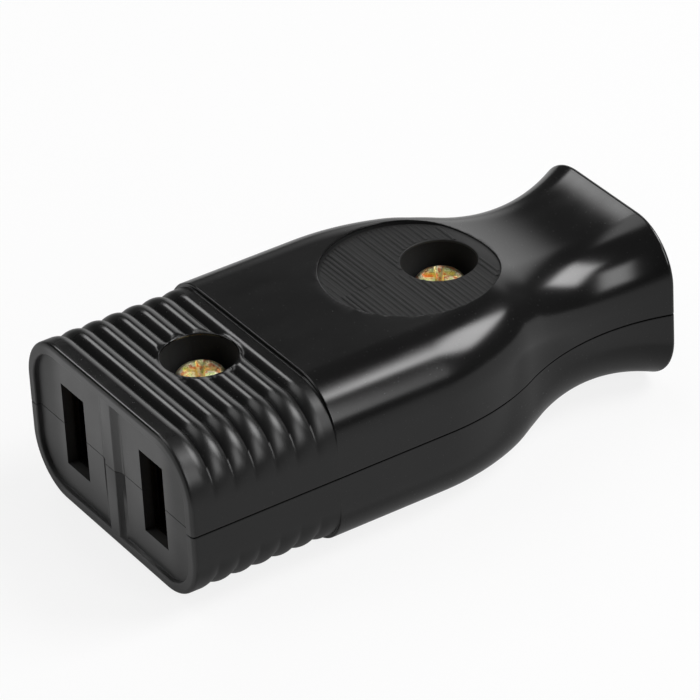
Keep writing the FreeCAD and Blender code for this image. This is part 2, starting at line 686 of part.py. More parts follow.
def contact(label, side):
    """Folded brass contact: two leaves, a fold and a terminal tab with lugs and collar."""
    body = new_body(label)
    fold = "(root_gap / 2 + sheet)"
    tab = "(tab_width / 2)"
    back = f"({TAB} + tab_length)"
    strip = Drawing(body, "strip", "XY_Plane", STRIP_UNDER)
    strip.polygon([(f"-{fold}", FOLD), (fold, FOLD), (fold, TAB), (tab, TAB),
                   (tab, back), (f"-{tab}", back), (f"-{tab}", TAB), (f"-{fold}", TAB)])
    strip.pad("strip", "sheet")
    walls = Drawing(body, "walls", "XY_Plane", STRIP_TOP)
    leaves = Drawing(body, "leaves", "XY_Plane", "-leaf_height / 2")
    lugs = Drawing(body, "lugs", "XY_Plane", STRIP_TOP)
    pinch = f"({MOUTH} + pinch_back)"
    for sign in ("", "-"):
        line = [("root_gap / 2", TAB), ("root_gap / 2", FOLD),
                ("pinch_gap / 2", pinch), ("mouth_gap / 2", MOUTH)]
        inner = [(f"{sign}{x}", y) for x, y in line]
        outer = [(f"{sign}({x} + sheet)", y) for x, y in reversed(line)]
        leaves.polygon(inner + outer)
        walls.box(f"{sign}root_gap / 2", f"{sign}{fold}", FOLD, TAB)
        lugs.box(f"{sign}({tab} - sheet)", f"{sign}{tab}",
                 f"{TERMINAL} - lug_length / 2", f"{TERMINAL} + lug_length / 2")
    walls.pad("fold_walls", "leaf_height / 2 + cavity_depth")
    leaves.pad("spring_leaves", "leaf_height")
    lugs.pad("wire_lugs", "lug_height")
    collar = Drawing(body, "collar", "XY_Plane", STRIP_UNDER)
    collar.circle(("0", TERMINAL), COLLAR)
    collar.pad("thread_collar", "collar_height", reverse=True)
    hole = Drawing(body, "thread", "XY_Plane", f"{STRIP_TOP} + lug_height")
    hole.circle(("0", TERMINAL), "terminal_shank / 2 + thread_clearance")
    hole.pocket("thread_hole", "lug_height + sheet + collar_height + overcut")
    bind(body, "Placement.Base.x", f"{side} * {POLE}")
    bind(body, "Placement.Base.z", HALF)
    return body


def terminal_screw(label, side):
    """Slotted terminal screw that clamps a wire on the contact's tab."""
    body = new_body(label)
    cheese = [("terminal_head / 2", "0"), ("terminal_head / 2", "terminal_head_height"),
              ("0", "terminal_head_height")]
    screw_blank(body, cheese, "terminal_shank", "terminal_length", "terminal_point")
    slot = Drawing(body, "slot", "XY_Plane", "terminal_head_height")
    slot.box("-driver_slot / 2", "driver_slot / 2", "-terminal_head", "terminal_head")
    slot.pocket("driver_slot", "driver_slot_depth")
    bind(body, "Placement.Base.x", f"{side} * {POLE}")
    bind(body, "Placement.Base.y", TERMINAL)
    bind(body, "Placement.Base.z", f"{HALF} + {STRIP_TOP}")
    return body


bodies = [
    lower_shell(),
    upper_shell(),
    case_screw("front_case_screw", FRONT_SCREW),
    case_screw("rear_case_screw", REAR_SCREW),
    contact("left_contact", -1),
    contact("right_contact", 1),
    terminal_screw("left_terminal_screw", -1),
    terminal_screw("right_terminal_screw", 1),
]
doc.recompute()

for item in doc.Objects:
    if "Invalid" in item.State or "Error" in item.State:
        raise RuntimeError(f"{item.Label} could not be built")
for body in bodies:
    if not body.Shape.isValid() or len(body.Shape.Solids) != 1:
        raise RuntimeError(f"{body.Label} is not one sound solid")

os.makedirs("parts", exist_ok=True)
for body in bodies:
    body.Shape.exportStep(f"parts/{body.Label}.step")
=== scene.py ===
"""In-line cord socket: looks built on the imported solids, one class for each sub-assembly."""
import logging
import math
from contextlib import contextmanager
from dataclasses import dataclass
from enum import Enum
from typing import Any, Callable, Iterator, Sequence, Union

import bmesh
import bpy
from bpy.types import Material, Mesh, NodeSocket, NodeTree, Object
from mathutils import Matrix, Vector


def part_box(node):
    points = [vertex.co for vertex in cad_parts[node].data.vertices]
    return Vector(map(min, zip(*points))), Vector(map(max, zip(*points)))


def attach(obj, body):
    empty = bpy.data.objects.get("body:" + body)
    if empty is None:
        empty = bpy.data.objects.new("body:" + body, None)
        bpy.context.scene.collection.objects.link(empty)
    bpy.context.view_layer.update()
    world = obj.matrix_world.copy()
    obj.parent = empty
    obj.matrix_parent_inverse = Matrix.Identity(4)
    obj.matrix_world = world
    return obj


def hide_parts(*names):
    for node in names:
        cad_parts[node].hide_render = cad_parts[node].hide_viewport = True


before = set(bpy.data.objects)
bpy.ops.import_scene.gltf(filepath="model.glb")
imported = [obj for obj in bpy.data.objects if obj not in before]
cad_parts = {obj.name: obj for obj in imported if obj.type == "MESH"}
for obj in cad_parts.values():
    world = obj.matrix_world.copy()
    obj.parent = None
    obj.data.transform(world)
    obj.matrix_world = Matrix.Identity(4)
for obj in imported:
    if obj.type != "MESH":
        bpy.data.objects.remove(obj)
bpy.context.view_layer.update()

log = logging.getLogger("cord_socket")

MM = 0.001
# In millimetres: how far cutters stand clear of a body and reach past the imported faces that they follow,
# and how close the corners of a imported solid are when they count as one.
OVERCUT = 1.0
SPARE = 0.012
MERGE_DISTANCE = 0.0005
CORNERS = ((-1, -1), (1, -1), (1, 1), (-1, 1))
Pair = tuple[float, float]
Point = tuple[float, float, float]
Colour = tuple[float, float, float]
SkinPoint = tuple[float, float, float, float, float]
Operand = Union["Value", float, int]
SOCKETS = {float: "NodeSocketFloat", int: "NodeSocketInt", tuple: "NodeSocketVector",
           Material: "NodeSocketMaterial"}


def math_method(operation: str, swapped: bool = False) -> Callable[["Value", Operand], "Value"]:
    """A method of Value that adds a Math node with two operands.

    Args:
        operation: Name of the Math node's operation.
        swapped: Whether the other operand comes first, as in a reflected form.

    Returns:
        The method.
    """
    def method(self: "Value", other: Operand) -> "Value":
        """Result of the operation with another value or a number."""
        return self.maths(operation, *((other, self) if swapped else (self, other)))
    return method


class Value:
    """A node socket that Python expressions are written with."""

    def __init__(self, graph: "Graph", socket: NodeSocket) -> None:
        """Keep the socket and the graph that its results go to."""
        self.graph = graph
        self.socket = socket

    def maths(self, operation: str, *operands: Operand) -> "Value":
        """Add a Math node.

        Args:
            operation: Name of the Math node's operation.
            operands: Values or numbers for its sockets, in order.

        Returns:
            The node's result.
        """
        return self.graph.node("ShaderNodeMath", {"operation": operation}, dict(enumerate(operands)))

    __add__, __radd__ = math_method("ADD"), math_method("ADD", swapped=True)
    __sub__, __rsub__ = math_method("SUBTRACT"), math_method("SUBTRACT", swapped=True)
    __mul__, __rmul__ = math_method("MULTIPLY"), math_method("MULTIPLY", swapped=True)
    __truediv__, __rtruediv__ = math_method("DIVIDE"), math_method("DIVIDE", swapped=True)
    least, most = math_method("MINIMUM"), math_method("MAXIMUM")

    def __abs__(self) -> "Value":
        """Size of the value without its sign."""
        return self.maths("ABSOLUTE", self)

    def root(self) -> "Value":
        """Square root."""
        return self.maths("SQRT", self)

    def rounded(self) -> "Value":
        """Nearest whole number."""
        return self.maths("ROUND", self)

    def other(self, output: str | int) -> "Value":
        """Another output of the node that this value comes from."""
        return Value(self.graph, self.socket.node.outputs[output])

    def below(self, edge: Operand, soft: Operand) -> "Value":
        """Mask that is 1 under an edge and 0 over it.

        Args:
            edge: Value at the middle of the change.
            soft: Half the width of the change.

        Returns:
            The mask.
        """
        return self.graph.node("ShaderNodeMapRange", {"interpolation_type": "SMOOTHSTEP"}, {
            "Value": self, "From Min": edge - soft, "From Max": edge + soft, "To Min": 1.0, "To Max": 0.0})

    def above(self, edge: Operand, soft: Operand) -> "Value":
        """Mask that is 0 under an edge and 1 over it."""
        return 1 - self.below(edge, soft)


@dataclass(frozen=True)
class Pattern:
    """A cloud pattern: cells in a millimetre, finer layers, their weight and a stretch of the place."""

    scale: float
    detail: float = 2.0
    roughness: float = 0.5
    stretch: Point = (1.0, 1.0, 1.0)


class Graph:
    """A node tree, of a material, a lamp, the world or Geometry Nodes, that is filled through one method."""

    def __init__(self, tree: NodeTree) -> None:
        """Empty the tree."""
        self.tree = tree
        tree.nodes.clear()

    def node(self, kind: str, settings: dict[str, Any] | None = None,
             sockets: dict[str | int, Any] | None = None, output: str | int = 0) -> Value:
        """Add a node.

        Args:
            kind: The node's type.
            settings: Its own properties, which are set first.
            sockets: Values or links for its inputs, by name or number.
            output: Which output is wanted.

        Returns:
            The wanted output.
        """
        made = self.tree.nodes.new(kind)
        for name, value in (settings or {}).items():
            setattr(made, name, value)
        for key, value in (sockets or {}).items():
            if isinstance(value, Value):
                self.tree.links.new(value.socket, made.inputs[key])
            else:
                made.inputs[key].default_value = value
        return Value(self, made.outputs[output] if len(made.outputs) else None)

    def vector_maths(self, operation: str, sockets: dict[str | int, Any], output: str | int = 0) -> Value:
        """Result of a Vector Math node."""
        return self.node("ShaderNodeVectorMath", {"operation": operation}, sockets, output)

    def split(self, vector: Value) -> tuple[Value, Value, Value]:
        """The three parts of a vector."""
        first = self.node("ShaderNodeSeparateXYZ", None, {0: vector})
        return first, first.other(1), first.other(2)

    def mix(self, factor: Operand, low: Any, high: Any) -> Value:
        """Blend of two colours."""
        return self.node("ShaderNodeMix", {"data_type": "RGBA"}, {0: factor, 6: low, 7: high}, output=2)

    def noise(self, place: Value, pattern: Pattern) -> Value:
        """Cloud pattern from 0 to 1, around one half."""
        return self.node("ShaderNodeTexNoise", {"noise_dimensions": "3D"}, {
            "Vector": self.vector_maths("MULTIPLY", {0: place, 1: pattern.stretch}),
            "Scale": pattern.scale, "Detail": pattern.detail, "Roughness": pattern.roughness})

    def random(self, low: float, high: float, seed: int) -> Value:
        """A random number for each element; the node's sockets share names, so they go by number."""
        sockets = {2: low, 3: high, 8: seed}
        return self.node("FunctionNodeRandomValue", {"data_type": "FLOAT"}, sockets, output=1)

    def bump(self, height: Value, strength: float, distance: float) -> Value:
        """Normal that leans with a height, its distance in millimetres."""
        return self.node("ShaderNodeBump", None, {
            "Strength": strength, "Distance": distance * MM, "Height": height})


def shader_graph(name: str) -> tuple[Material, Graph]:
    """A new material and its empty graph."""
    material = bpy.data.materials.new(name)
    material.use_nodes = True
    return material, Graph(material.node_tree)


def object_mm(graph: Graph) -> Value:
    """Object coordinates in millimetres."""
    place = graph.node("ShaderNodeTexCoord", output="Object")
    return graph.vector_maths("SCALE", {0: place, "Scale": 1 / MM})


def grey(level: float, tint: Colour = (1.0, 1.0, 1.0)) -> tuple[float, float, float, float]:
    """A level of grey, tinted, as a colour socket takes it."""
    return (level * tint[0], level * tint[1], level * tint[2], 1.0)


@dataclass(frozen=True)
class Finish:
    """A procedural finish; an edge in it is the middle of a soft change and half its width."""

    name: str

    def sockets(self, graph: Graph, place: Value) -> dict[str, Any]:
        """Values and links for the shader's sockets, which each finish has of its own."""
        raise NotImplementedError

    def material(self) -> Material:
        """Build the material."""
        material, graph = shader_graph(self.name)
        shader = graph.node("ShaderNodeBsdfPrincipled", None, self.sockets(graph, object_mm(graph)))
        graph.node("ShaderNodeOutputMaterial", None, {"Surface": shader})
        return material


@dataclass(frozen=True)
class MouldedPlastic(Finish):
    """Black moulded case plastic: glossy outside, satin socket face, matte finger pad; the face, its rim and
    the slots' mouths are painted lighter, partly their satin tone and partly painted light, while the slots
    deeper in and the counterbores' walls are painted darker as painted shade.
    """

    name: str = "case_plastic"
    level: float = 0.007
    # partly the satin face's own tone and partly painted light: the face, its rim and the slots' mouths
    # stand in shade and are painted lighter than the body
    face_level: float = 0.05
    pad_level: float = 0.008
    # painted shade: the counterbores' walls are painted darker than the plastic around them
    hole_level: float = 0.001
    speck_level: float = 0.35
    speck_share: float = 0.12
    cloud_level: float = 0.012
    cloud_share: float = 0.3
    gloss: float = 0.18
    corner_roughness: float = 0.34
    face_roughness: float = 0.4
    pad_roughness: float = 0.62
    hole_roughness: float = 0.9
    inside_roughness: float = 0.42
    smear_roughness: float = 0.1
    cloud_roughness: float = 0.06
    speck_roughness: float = 0.15
    roughness_range: Pair = (0.05, 0.9)
    cloud: Pattern = Pattern(0.16, 3.0)
    smear: Pattern = Pattern(0.9, 4.0, 0.6, (0.5, 0.14, 0.5))
    speck: Pattern = Pattern(6.0, 2.0, 0.6)
    peel: Pattern = Pattern(0.9)
    grain: Pattern = Pattern(9.0, 3.0, 0.6)
    cloud_edge: Pair = (0.6, 0.2)
    speck_edge: Pair = (0.73, 0.03)
    peel_height: float = 0.05
    grain_height: float = 0.12
    smooth_grain: float = 0.1
    pad_grain: float = 0.6
    inside_grain: float = 0.4
    bump_strength: float = 0.35
    bump_distance: float = 0.05
    rim_back: Pair = (0.16, 0.05)
    face_back: Pair = (1.4, 0.25)
    # painted shade: the slots' walls keep the face's lighter tone only this far behind the face and are
    # painted dark deeper in
    face_inset: Pair = (-0.55, 0.05)
    hole_wall: Pair = (0.05, 0.02)
    hole_foot: Pair = (2.0, 0.1)
    hole_top: Pair = (7.4, 0.05)
    pad_wall: Pair = (0.03, 0.03)
    pad_top: Pair = (0.25, 0.06)
    pad_foot: Pair = (-0.5, 0.03)
    inside_top: Pair = (4.75, 0.1)
    inside_wall: Pair = (10.75, 0.05)
    inside_front: Pair = (1.95, 0.05)
    inside_back: Pair = (9.0, 0.3)
    corner_back: Pair = (0.0, 0.1)
    corner_side: Pair = (9.0, 1.2)

    @staticmethod
    def from_axis(x: Value, y: Value, middle: float) -> Value:
        """Distance from an upright axis in the middle plane."""
        along = y - middle
        return (x * x + along * along).root()

    def masks(self, x: Value, y: Value, z: Value) -> tuple[Value, Value, Value, Value, Value]:
        """Masks of the areas that differ from the glossy outside.

        Args:
            x: Place across the case.
            y: Place along the case.
            z: Height over the table.

        Returns:
            Masks of the block's corners, the socket face with its rim, the finger pads' floors, the chambers
            inside and the counterbores' walls.
        """
        side, behind, over = abs(x), y - CASE.face, z - CASE.seam
        height = abs(over)
        corner = (y - CASE.block_end).below(*self.corner_back) * side.above(*self.corner_side)
        across = (side - (CASE.half_width - CASE.edge_radius)).most(0)
        up = (height - (CASE.block_height - CASE.edge_radius)).most(0)
        within = ((across * across + up * up).root() - CASE.edge_radius).below(*self.face_inset)
        # The face mask reaches into the slots only near their mouths, so the walls deeper in take the body's
        # dark tone as painted shade.
        face = behind.below(*self.rim_back).most(within * behind.below(*self.face_back))
        wall = (self.from_axis(x, y, PAD.centre) - PAD.radius).below(*self.pad_wall)
        pad = wall * (height - PAD.floor).below(*self.pad_top) * (height - PAD.floor).above(*self.pad_foot)
        inside = height.below(*self.inside_top) * side.below(*self.inside_wall)
        inside = inside * behind.above(*self.inside_front) * y.below(*self.inside_back)
        near = self.from_axis(x, y, SCREW_HOLE.front).least(self.from_axis(x, y, SCREW_HOLE.rear))
        # mask of the counterbores' walls, where shade is painted into the colour and the roughness is raised
        wall = (near - SCREW_HOLE.radius).below(*self.hole_wall)
        hole = wall * over.above(*self.hole_foot) * over.below(*self.hole_top)
        return corner, face, pad, inside, hole

    def sockets(self, graph: Graph, place: Value) -> dict[str, Any]:
        """Values and links for the shader's sockets.

        Args:
            graph: Graph of the material.
            place: Object coordinates in millimetres.

        Returns:
            The sockets by name.
        """
        corner, face, pad, inside, hole = self.masks(*graph.split(place))
        cloud, smear = graph.noise(place, self.cloud), graph.noise(place, self.smear)
        speck = graph.noise(place, self.speck).above(*self.speck_edge)
        colour: Any = grey(self.level)
        for mask, level in ((face, self.face_level), (pad, self.pad_level), (hole, self.hole_level),
                            (speck * self.speck_share, self.speck_level),
                            (cloud.above(*self.cloud_edge) * self.cloud_share, self.cloud_level)):
            colour = graph.mix(mask, colour, grey(level))
        rough = self.gloss + (smear - 0.5) * self.smear_roughness + (cloud - 0.5) * self.cloud_roughness
        rough = rough + speck * self.speck_roughness
        for mask, roughness in ((corner, self.corner_roughness), (face, self.face_roughness),
                                (pad, self.pad_roughness), (inside, self.inside_roughness),
                                (hole, self.hole_roughness)):
            rough = rough + mask * (roughness - self.gloss)
        grained = self.smooth_grain + face + pad * self.pad_grain + inside * self.inside_grain
        grain = graph.noise(place, self.grain) * self.grain_height * grained
        relief = graph.noise(place, self.peel) * self.peel_height + grain
        smoothest, roughest = self.roughness_range
        return {
            "Base Color": colour,
            "Roughness": rough.most(smoothest).least(roughest),
            "Normal": graph.bump(relief, self.bump_strength, self.bump_distance),
        }


@dataclass(frozen=True)
class PlatedSteel(Finish):
    """Zinc plated screw steel, turned and lightly worn."""

    colour: Colour
    shade: Colour
    green: Colour
    red: Colour
    roughness: float = 0.3
    fine_roughness: float = 0.25
    least_roughness: float = 0.08
    cloud: Pattern = Pattern(1.1, 3.0, 0.6)
    tint: Pattern = Pattern(1.5, 2.0, 0.5, (1.0, 1.3, 1.7))
    fine: Pattern = Pattern(7.0, 3.0, 0.65)
    colour_edge: Pair = (0.5, 0.18)
    red_edge: Pair = (0.57, 0.03)
    green_edge: Pair = (0.42, 0.03)
    tint_share: float = 0.8
    dirt_edge: Pair = (0.68, 0.06)
    dirt_share: float = 0.3
    dirt_level: float = 0.3
    fine_height: float = 0.5
    bump_strength: float = 1.0
    bump_distance: float = 0.12

    def sockets(self, graph: Graph, place: Value) -> dict[str, Any]:
        """Values and links for the shader's sockets.

        Args:
            graph: Graph of the material.
            place: Object coordinates in millimetres.

        Returns:
            The sockets by name.
        """
        cloud, tint, fine = (graph.noise(place, pattern) for pattern in (self.cloud, self.tint, self.fine))
        colour = graph.mix(cloud.above(*self.colour_edge), grey(1.0, self.shade), grey(1.0, self.colour))
        colour = graph.mix(tint.above(*self.red_edge) * self.tint_share, colour, grey(1.0, self.red))
        colour = graph.mix(tint.below(*self.green_edge) * self.tint_share, colour, grey(1.0, self.green))
        dirt = grey(self.dirt_level, self.shade)
        rough = self.roughness + (fine - 0.5) * self.fine_roughness
        return {
            "Base Color": graph.mix(fine.above(*self.dirt_edge) * self.dirt_share, colour, dirt),
            "Roughness": rough.most(self.least_roughness),
            "Metallic": 1.0,
            "Normal": graph.bump(fine * self.fine_height + cloud, self.bump_strength, self.bump_distance),
        }


@dataclass(frozen=True)
class RolledBrass(Finish):
    """Rolled brass strip with fine drawn lines and a little tarnish."""

    name: str = "contact_brass"
    colour: Colour = (0.72, 0.50, 0.19)
    tarnish: Colour = (0.42, 0.26, 0.10)
    roughness: float = 0.3
    drawn_roughness: float = 0.3
    cloud_roughness: float = 0.15
    least_roughness: float = 0.1
    drawn: Pattern = Pattern(1.0, 3.0, 0.6, (8.0, 0.35, 8.0))
    cloud: Pattern = Pattern(0.5, 4.0, 0.6)
    tarnish_edge: Pair = (0.58, 0.14)
    tarnish_share: float = 0.7
    bump_strength: float = 0.25
    bump_distance: float = 0.01

    def sockets(self, graph: Graph, place: Value) -> dict[str, Any]:
        """Values and links for the shader's sockets.

        Args:
            graph: Graph of the material.
            place: Object coordinates in millimetres.

        Returns:
            The sockets by name.
        """
        drawn, cloud = graph.noise(place, self.drawn), graph.noise(place, self.cloud)
        dulled = cloud.above(*self.tarnish_edge) * self.tarnish_share
        rough = self.roughness + (drawn - 0.5) * self.drawn_roughness + (cloud - 0.5) * self.cloud_roughness
        return {
            "Base Color": graph.mix(dulled, grey(1.0, self.colour), grey(1.0, self.tarnish)),
            "Roughness": rough.most(self.least_roughness),
            "Metallic": 1.0,
            "Normal": graph.bump(drawn, self.bump_strength, self.bump_distance),
        }


def new_object(name: str, mesh: Mesh | None = None) -> Object:
    """An object in the scene that holds a mesh, or an empty one."""
    made = bpy.data.objects.new(name, mesh or bpy.data.meshes.new(name))
    bpy.context.scene.collection.objects.link(made)
    return made


@contextmanager
def editing(mesh: Mesh) -> Iterator[bmesh.types.BMesh]:
    """Open a mesh for editing, and write it back at the end.

    Args:
        mesh: The mesh.

    Yields:
        Its editable form.
    """
    work = bmesh.new()
    work.from_mesh(mesh)
    yield work
    work.to_mesh(mesh)
    work.free()


def solid(name: str, points: Sequence[Point], faces: Sequence[Sequence[int]]) -> Object:
    """Closed body with its faces turned outwards.

    Args:
        name: Name of the object.
        points: Corners in millimetres.
        faces: Corner numbers of each face.

    Returns:
        The new object, still in millimetres.
    """
    mesh = bpy.data.meshes.new(name)
    mesh.from_pydata(points, [], faces)
    with editing(mesh) as work:
        bmesh.ops.recalc_face_normals(work, faces=work.faces)
    return new_object(name, mesh)


def rings_solid(name: str, rings: Sequence[Sequence[Point]]) -> Object:
    """Closed body through a row of rings.

    Args:
        name: Name of the object.
        rings: Rings of as many points each, or of one point where the body ends in a tip.

    Returns:
        The new object, still in millimetres.
    """
    points: list[Point] = []
    starts: list[int] = []
    for ring in rings:
        starts.append(len(points))
        points.extend(ring)
    faces: list[tuple[int, ...]] = []
    for (near, start), (far, after) in zip(zip(rings, starts), zip(rings[1:], starts[1:])):
        count = max(len(near), len(far))
        for this in range(count):
            following = (this + 1) % count
            corners = [start + this % len(near), start + following % len(near),
                       after + following % len(far), after + this % len(far)]
            faces.append(tuple(dict.fromkeys(corners)))
    for ring, start in ((rings[0], starts[0]), (rings[-1], starts[-1])):
        if len(ring) > 2:
            faces.append(tuple(range(start, start + len(ring))))
    return solid(name, points, faces)


def turned(name: str, profile: Sequence[Pair], middle: Point, along: str = "Z",
           sides: int = 128) -> Object:
    """Closed body of revolution.

    Args:
        name: Name of the object.
        profile: Radius and place along the axis of each ring; a radius of 0 is a tip.
        middle: Where the axis passes, its place along the axis left at 0.
        along: Axis of the body, Y or Z.
        sides: Corners of a ring.

    Returns:
        The new object, still in millimetres.
    """
    rings: list[list[Point]] = []
    for radius, place in profile:
        ring: list[Point] = []
        for step in range(sides if radius else 1):
            angle = math.tau * step / sides
            across, other = radius * math.cos(angle), radius * math.sin(angle)
            local = (across, other, place) if along == "Z" else (across, place, other)
            ring.append(tuple(a + b for a, b in zip(local, middle)))
        rings.append(ring)
    return rings_solid(name, rings)


def settle(target: Object) -> None:
    """Turn an object's modifiers into plain mesh.

    Args:
        target: The object.
    """
    graph = bpy.context.evaluated_depsgraph_get()
    mesh = bpy.data.meshes.new_from_object(target.evaluated_get(graph), depsgraph=graph)
    target.modifiers.clear()
    target.data = mesh
    mesh.name = target.name


def carve(target: Object, *cutters: Object, keep: str = "DIFFERENCE") -> None:
    """Cut bodies out of another, or join them to it, and drop them.

    Args:
        target: Body that is changed.
        cutters: Bodies that are used up.
        keep: What is kept, as the Boolean modifier names it.
    """
    for cutter in cutters:
        modifier = target.modifiers.new("carve", "BOOLEAN")
        modifier.solver = "MANIFOLD"
        modifier.operation = keep
        modifier.object = cutter
        settle(target)
        bpy.data.objects.remove(cutter)


def keep_main(target: Object) -> None:
    """Drop the loose slivers and bubbles that cutting leaves, so that one closed body stays.

    Args:
        target: Object whose largest body is kept.
    """
    with editing(target.data) as work:
        islands: list[set[bmesh.types.BMFace]] = []
        waiting = set(work.faces)
        while waiting:
            border = [waiting.pop()]
            island = set(border)
            while border:
                near = {other for edge in border.pop().edges for other in edge.link_faces} & waiting
                waiting -= near
                island |= near
                border += near
            islands.append(island)
        islands.sort(key=len)
        loose = [face for island in islands[:-1] for face in island]
        bmesh.ops.delete(work, geom=loose, context="FACES")


def cad_copy(node: str) -> Object:
    """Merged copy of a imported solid, in millimetres.

    Args:
        node: Name of the solid.

    Returns:
        The copy.
    """
    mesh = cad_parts[node].data.copy()
    mesh.transform(Matrix.Scale(1 / MM, 4))
    with editing(mesh) as work:
        bmesh.ops.remove_doubles(work, verts=work.verts, dist=MERGE_DISTANCE)
    return new_object(f"{node}_copy", mesh)


def run_tree(target: Object, name: str, inputs: dict[str, Any],
             make: Callable[[Graph, dict[str, Value]], Value]) -> None:
    """Run a Geometry Nodes tree, made at its first use, and keep the result as plain mesh.

    Args:
        target: Object that gets the result.
        name: Name of the tree.
        inputs: Its inputs by name, a material last; their values say which kind of socket each one is.
        make: Fills the tree from its graph and its inputs, and gives the geometry.
    """
    tree = bpy.data.node_groups.get(name)
    if tree is None:
        tree = bpy.data.node_groups.new(name, "GeometryNodeTree")
        tree.interface.new_socket("Geometry", in_out="OUTPUT", socket_type="NodeSocketGeometry")
        tree.interface.new_socket("Geometry", in_out="INPUT", socket_type="NodeSocketGeometry")
        for label, value in inputs.items():
            tree.interface.new_socket(label, in_out="INPUT", socket_type=SOCKETS[type(value)])
        graph = Graph(tree)
        outputs = graph.node("NodeGroupInput").socket.node.outputs
        given = {out.name: Value(graph, out) for out in outputs if out.name}
        real = graph.node("GeometryNodeRealizeInstances", None, {"Geometry": make(graph, given)})
        dressed = graph.node("GeometryNodeSetMaterial", None, {
            "Geometry": real, "Material": given["Material"]})
        graph.node("NodeGroupOutput", None, {0: dressed})
    modifier = target.modifiers.new(name, "NODES")
    modifier.node_group = tree
    for item in tree.interface.items_tree:
        if item.in_out == "INPUT" and item.name in inputs:
            modifier[item.identifier] = inputs[item.name]
    settle(target)


def finish_piece(piece: Object, material: Material, sharp: float) -> None:
    """Give a piece its material, shade it smooth with large faces leading, and scale it to metres.

    Args:
        piece: Piece in millimetres.
        material: Its finish.
        sharp: Angle in degrees over which an edge stays crisp.
    """
    mesh = piece.data
    mesh.materials.clear()
    mesh.materials.append(material)
    mesh.shade_smooth()
    mesh.set_sharp_from_angle(angle=math.radians(sharp))
    weigh = piece.modifiers.new("weigh", "WEIGHTED_NORMAL")
    weigh.keep_sharp, weigh.thresh = True, 0.0
    settle(piece)
    piece.data.transform(Matrix.Scale(MM, 4))


def hand_over(piece: Object, body: str, slot: str, *nodes: str) -> None:
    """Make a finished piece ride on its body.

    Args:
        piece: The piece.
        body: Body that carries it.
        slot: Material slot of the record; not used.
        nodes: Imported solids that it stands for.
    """
    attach(piece, body)
    if nodes:
        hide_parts(*nodes)
    log.info("%s: %d faces, rides on %s", piece.name, len(piece.data.polygons), body)


class Half(Enum):
    """The two mouldings; the value turns heights up or down from the seam."""

    UPPER = 1
    LOWER = -1

    @property
    def word(self) -> str:
        """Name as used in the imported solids."""
        return self.name.lower()


def quarter(steps: int) -> list[float]:
    """Angles of a quarter turn in equal steps, both ends included."""
    return [math.pi / 2 * step / steps for step in range(steps + 1)]


@dataclass(frozen=True)
class Row:
    """One cross-section of the case skin."""

    y: float
    inset: float
    width: float
    width_slope: float
    height: float
    height_slope: float


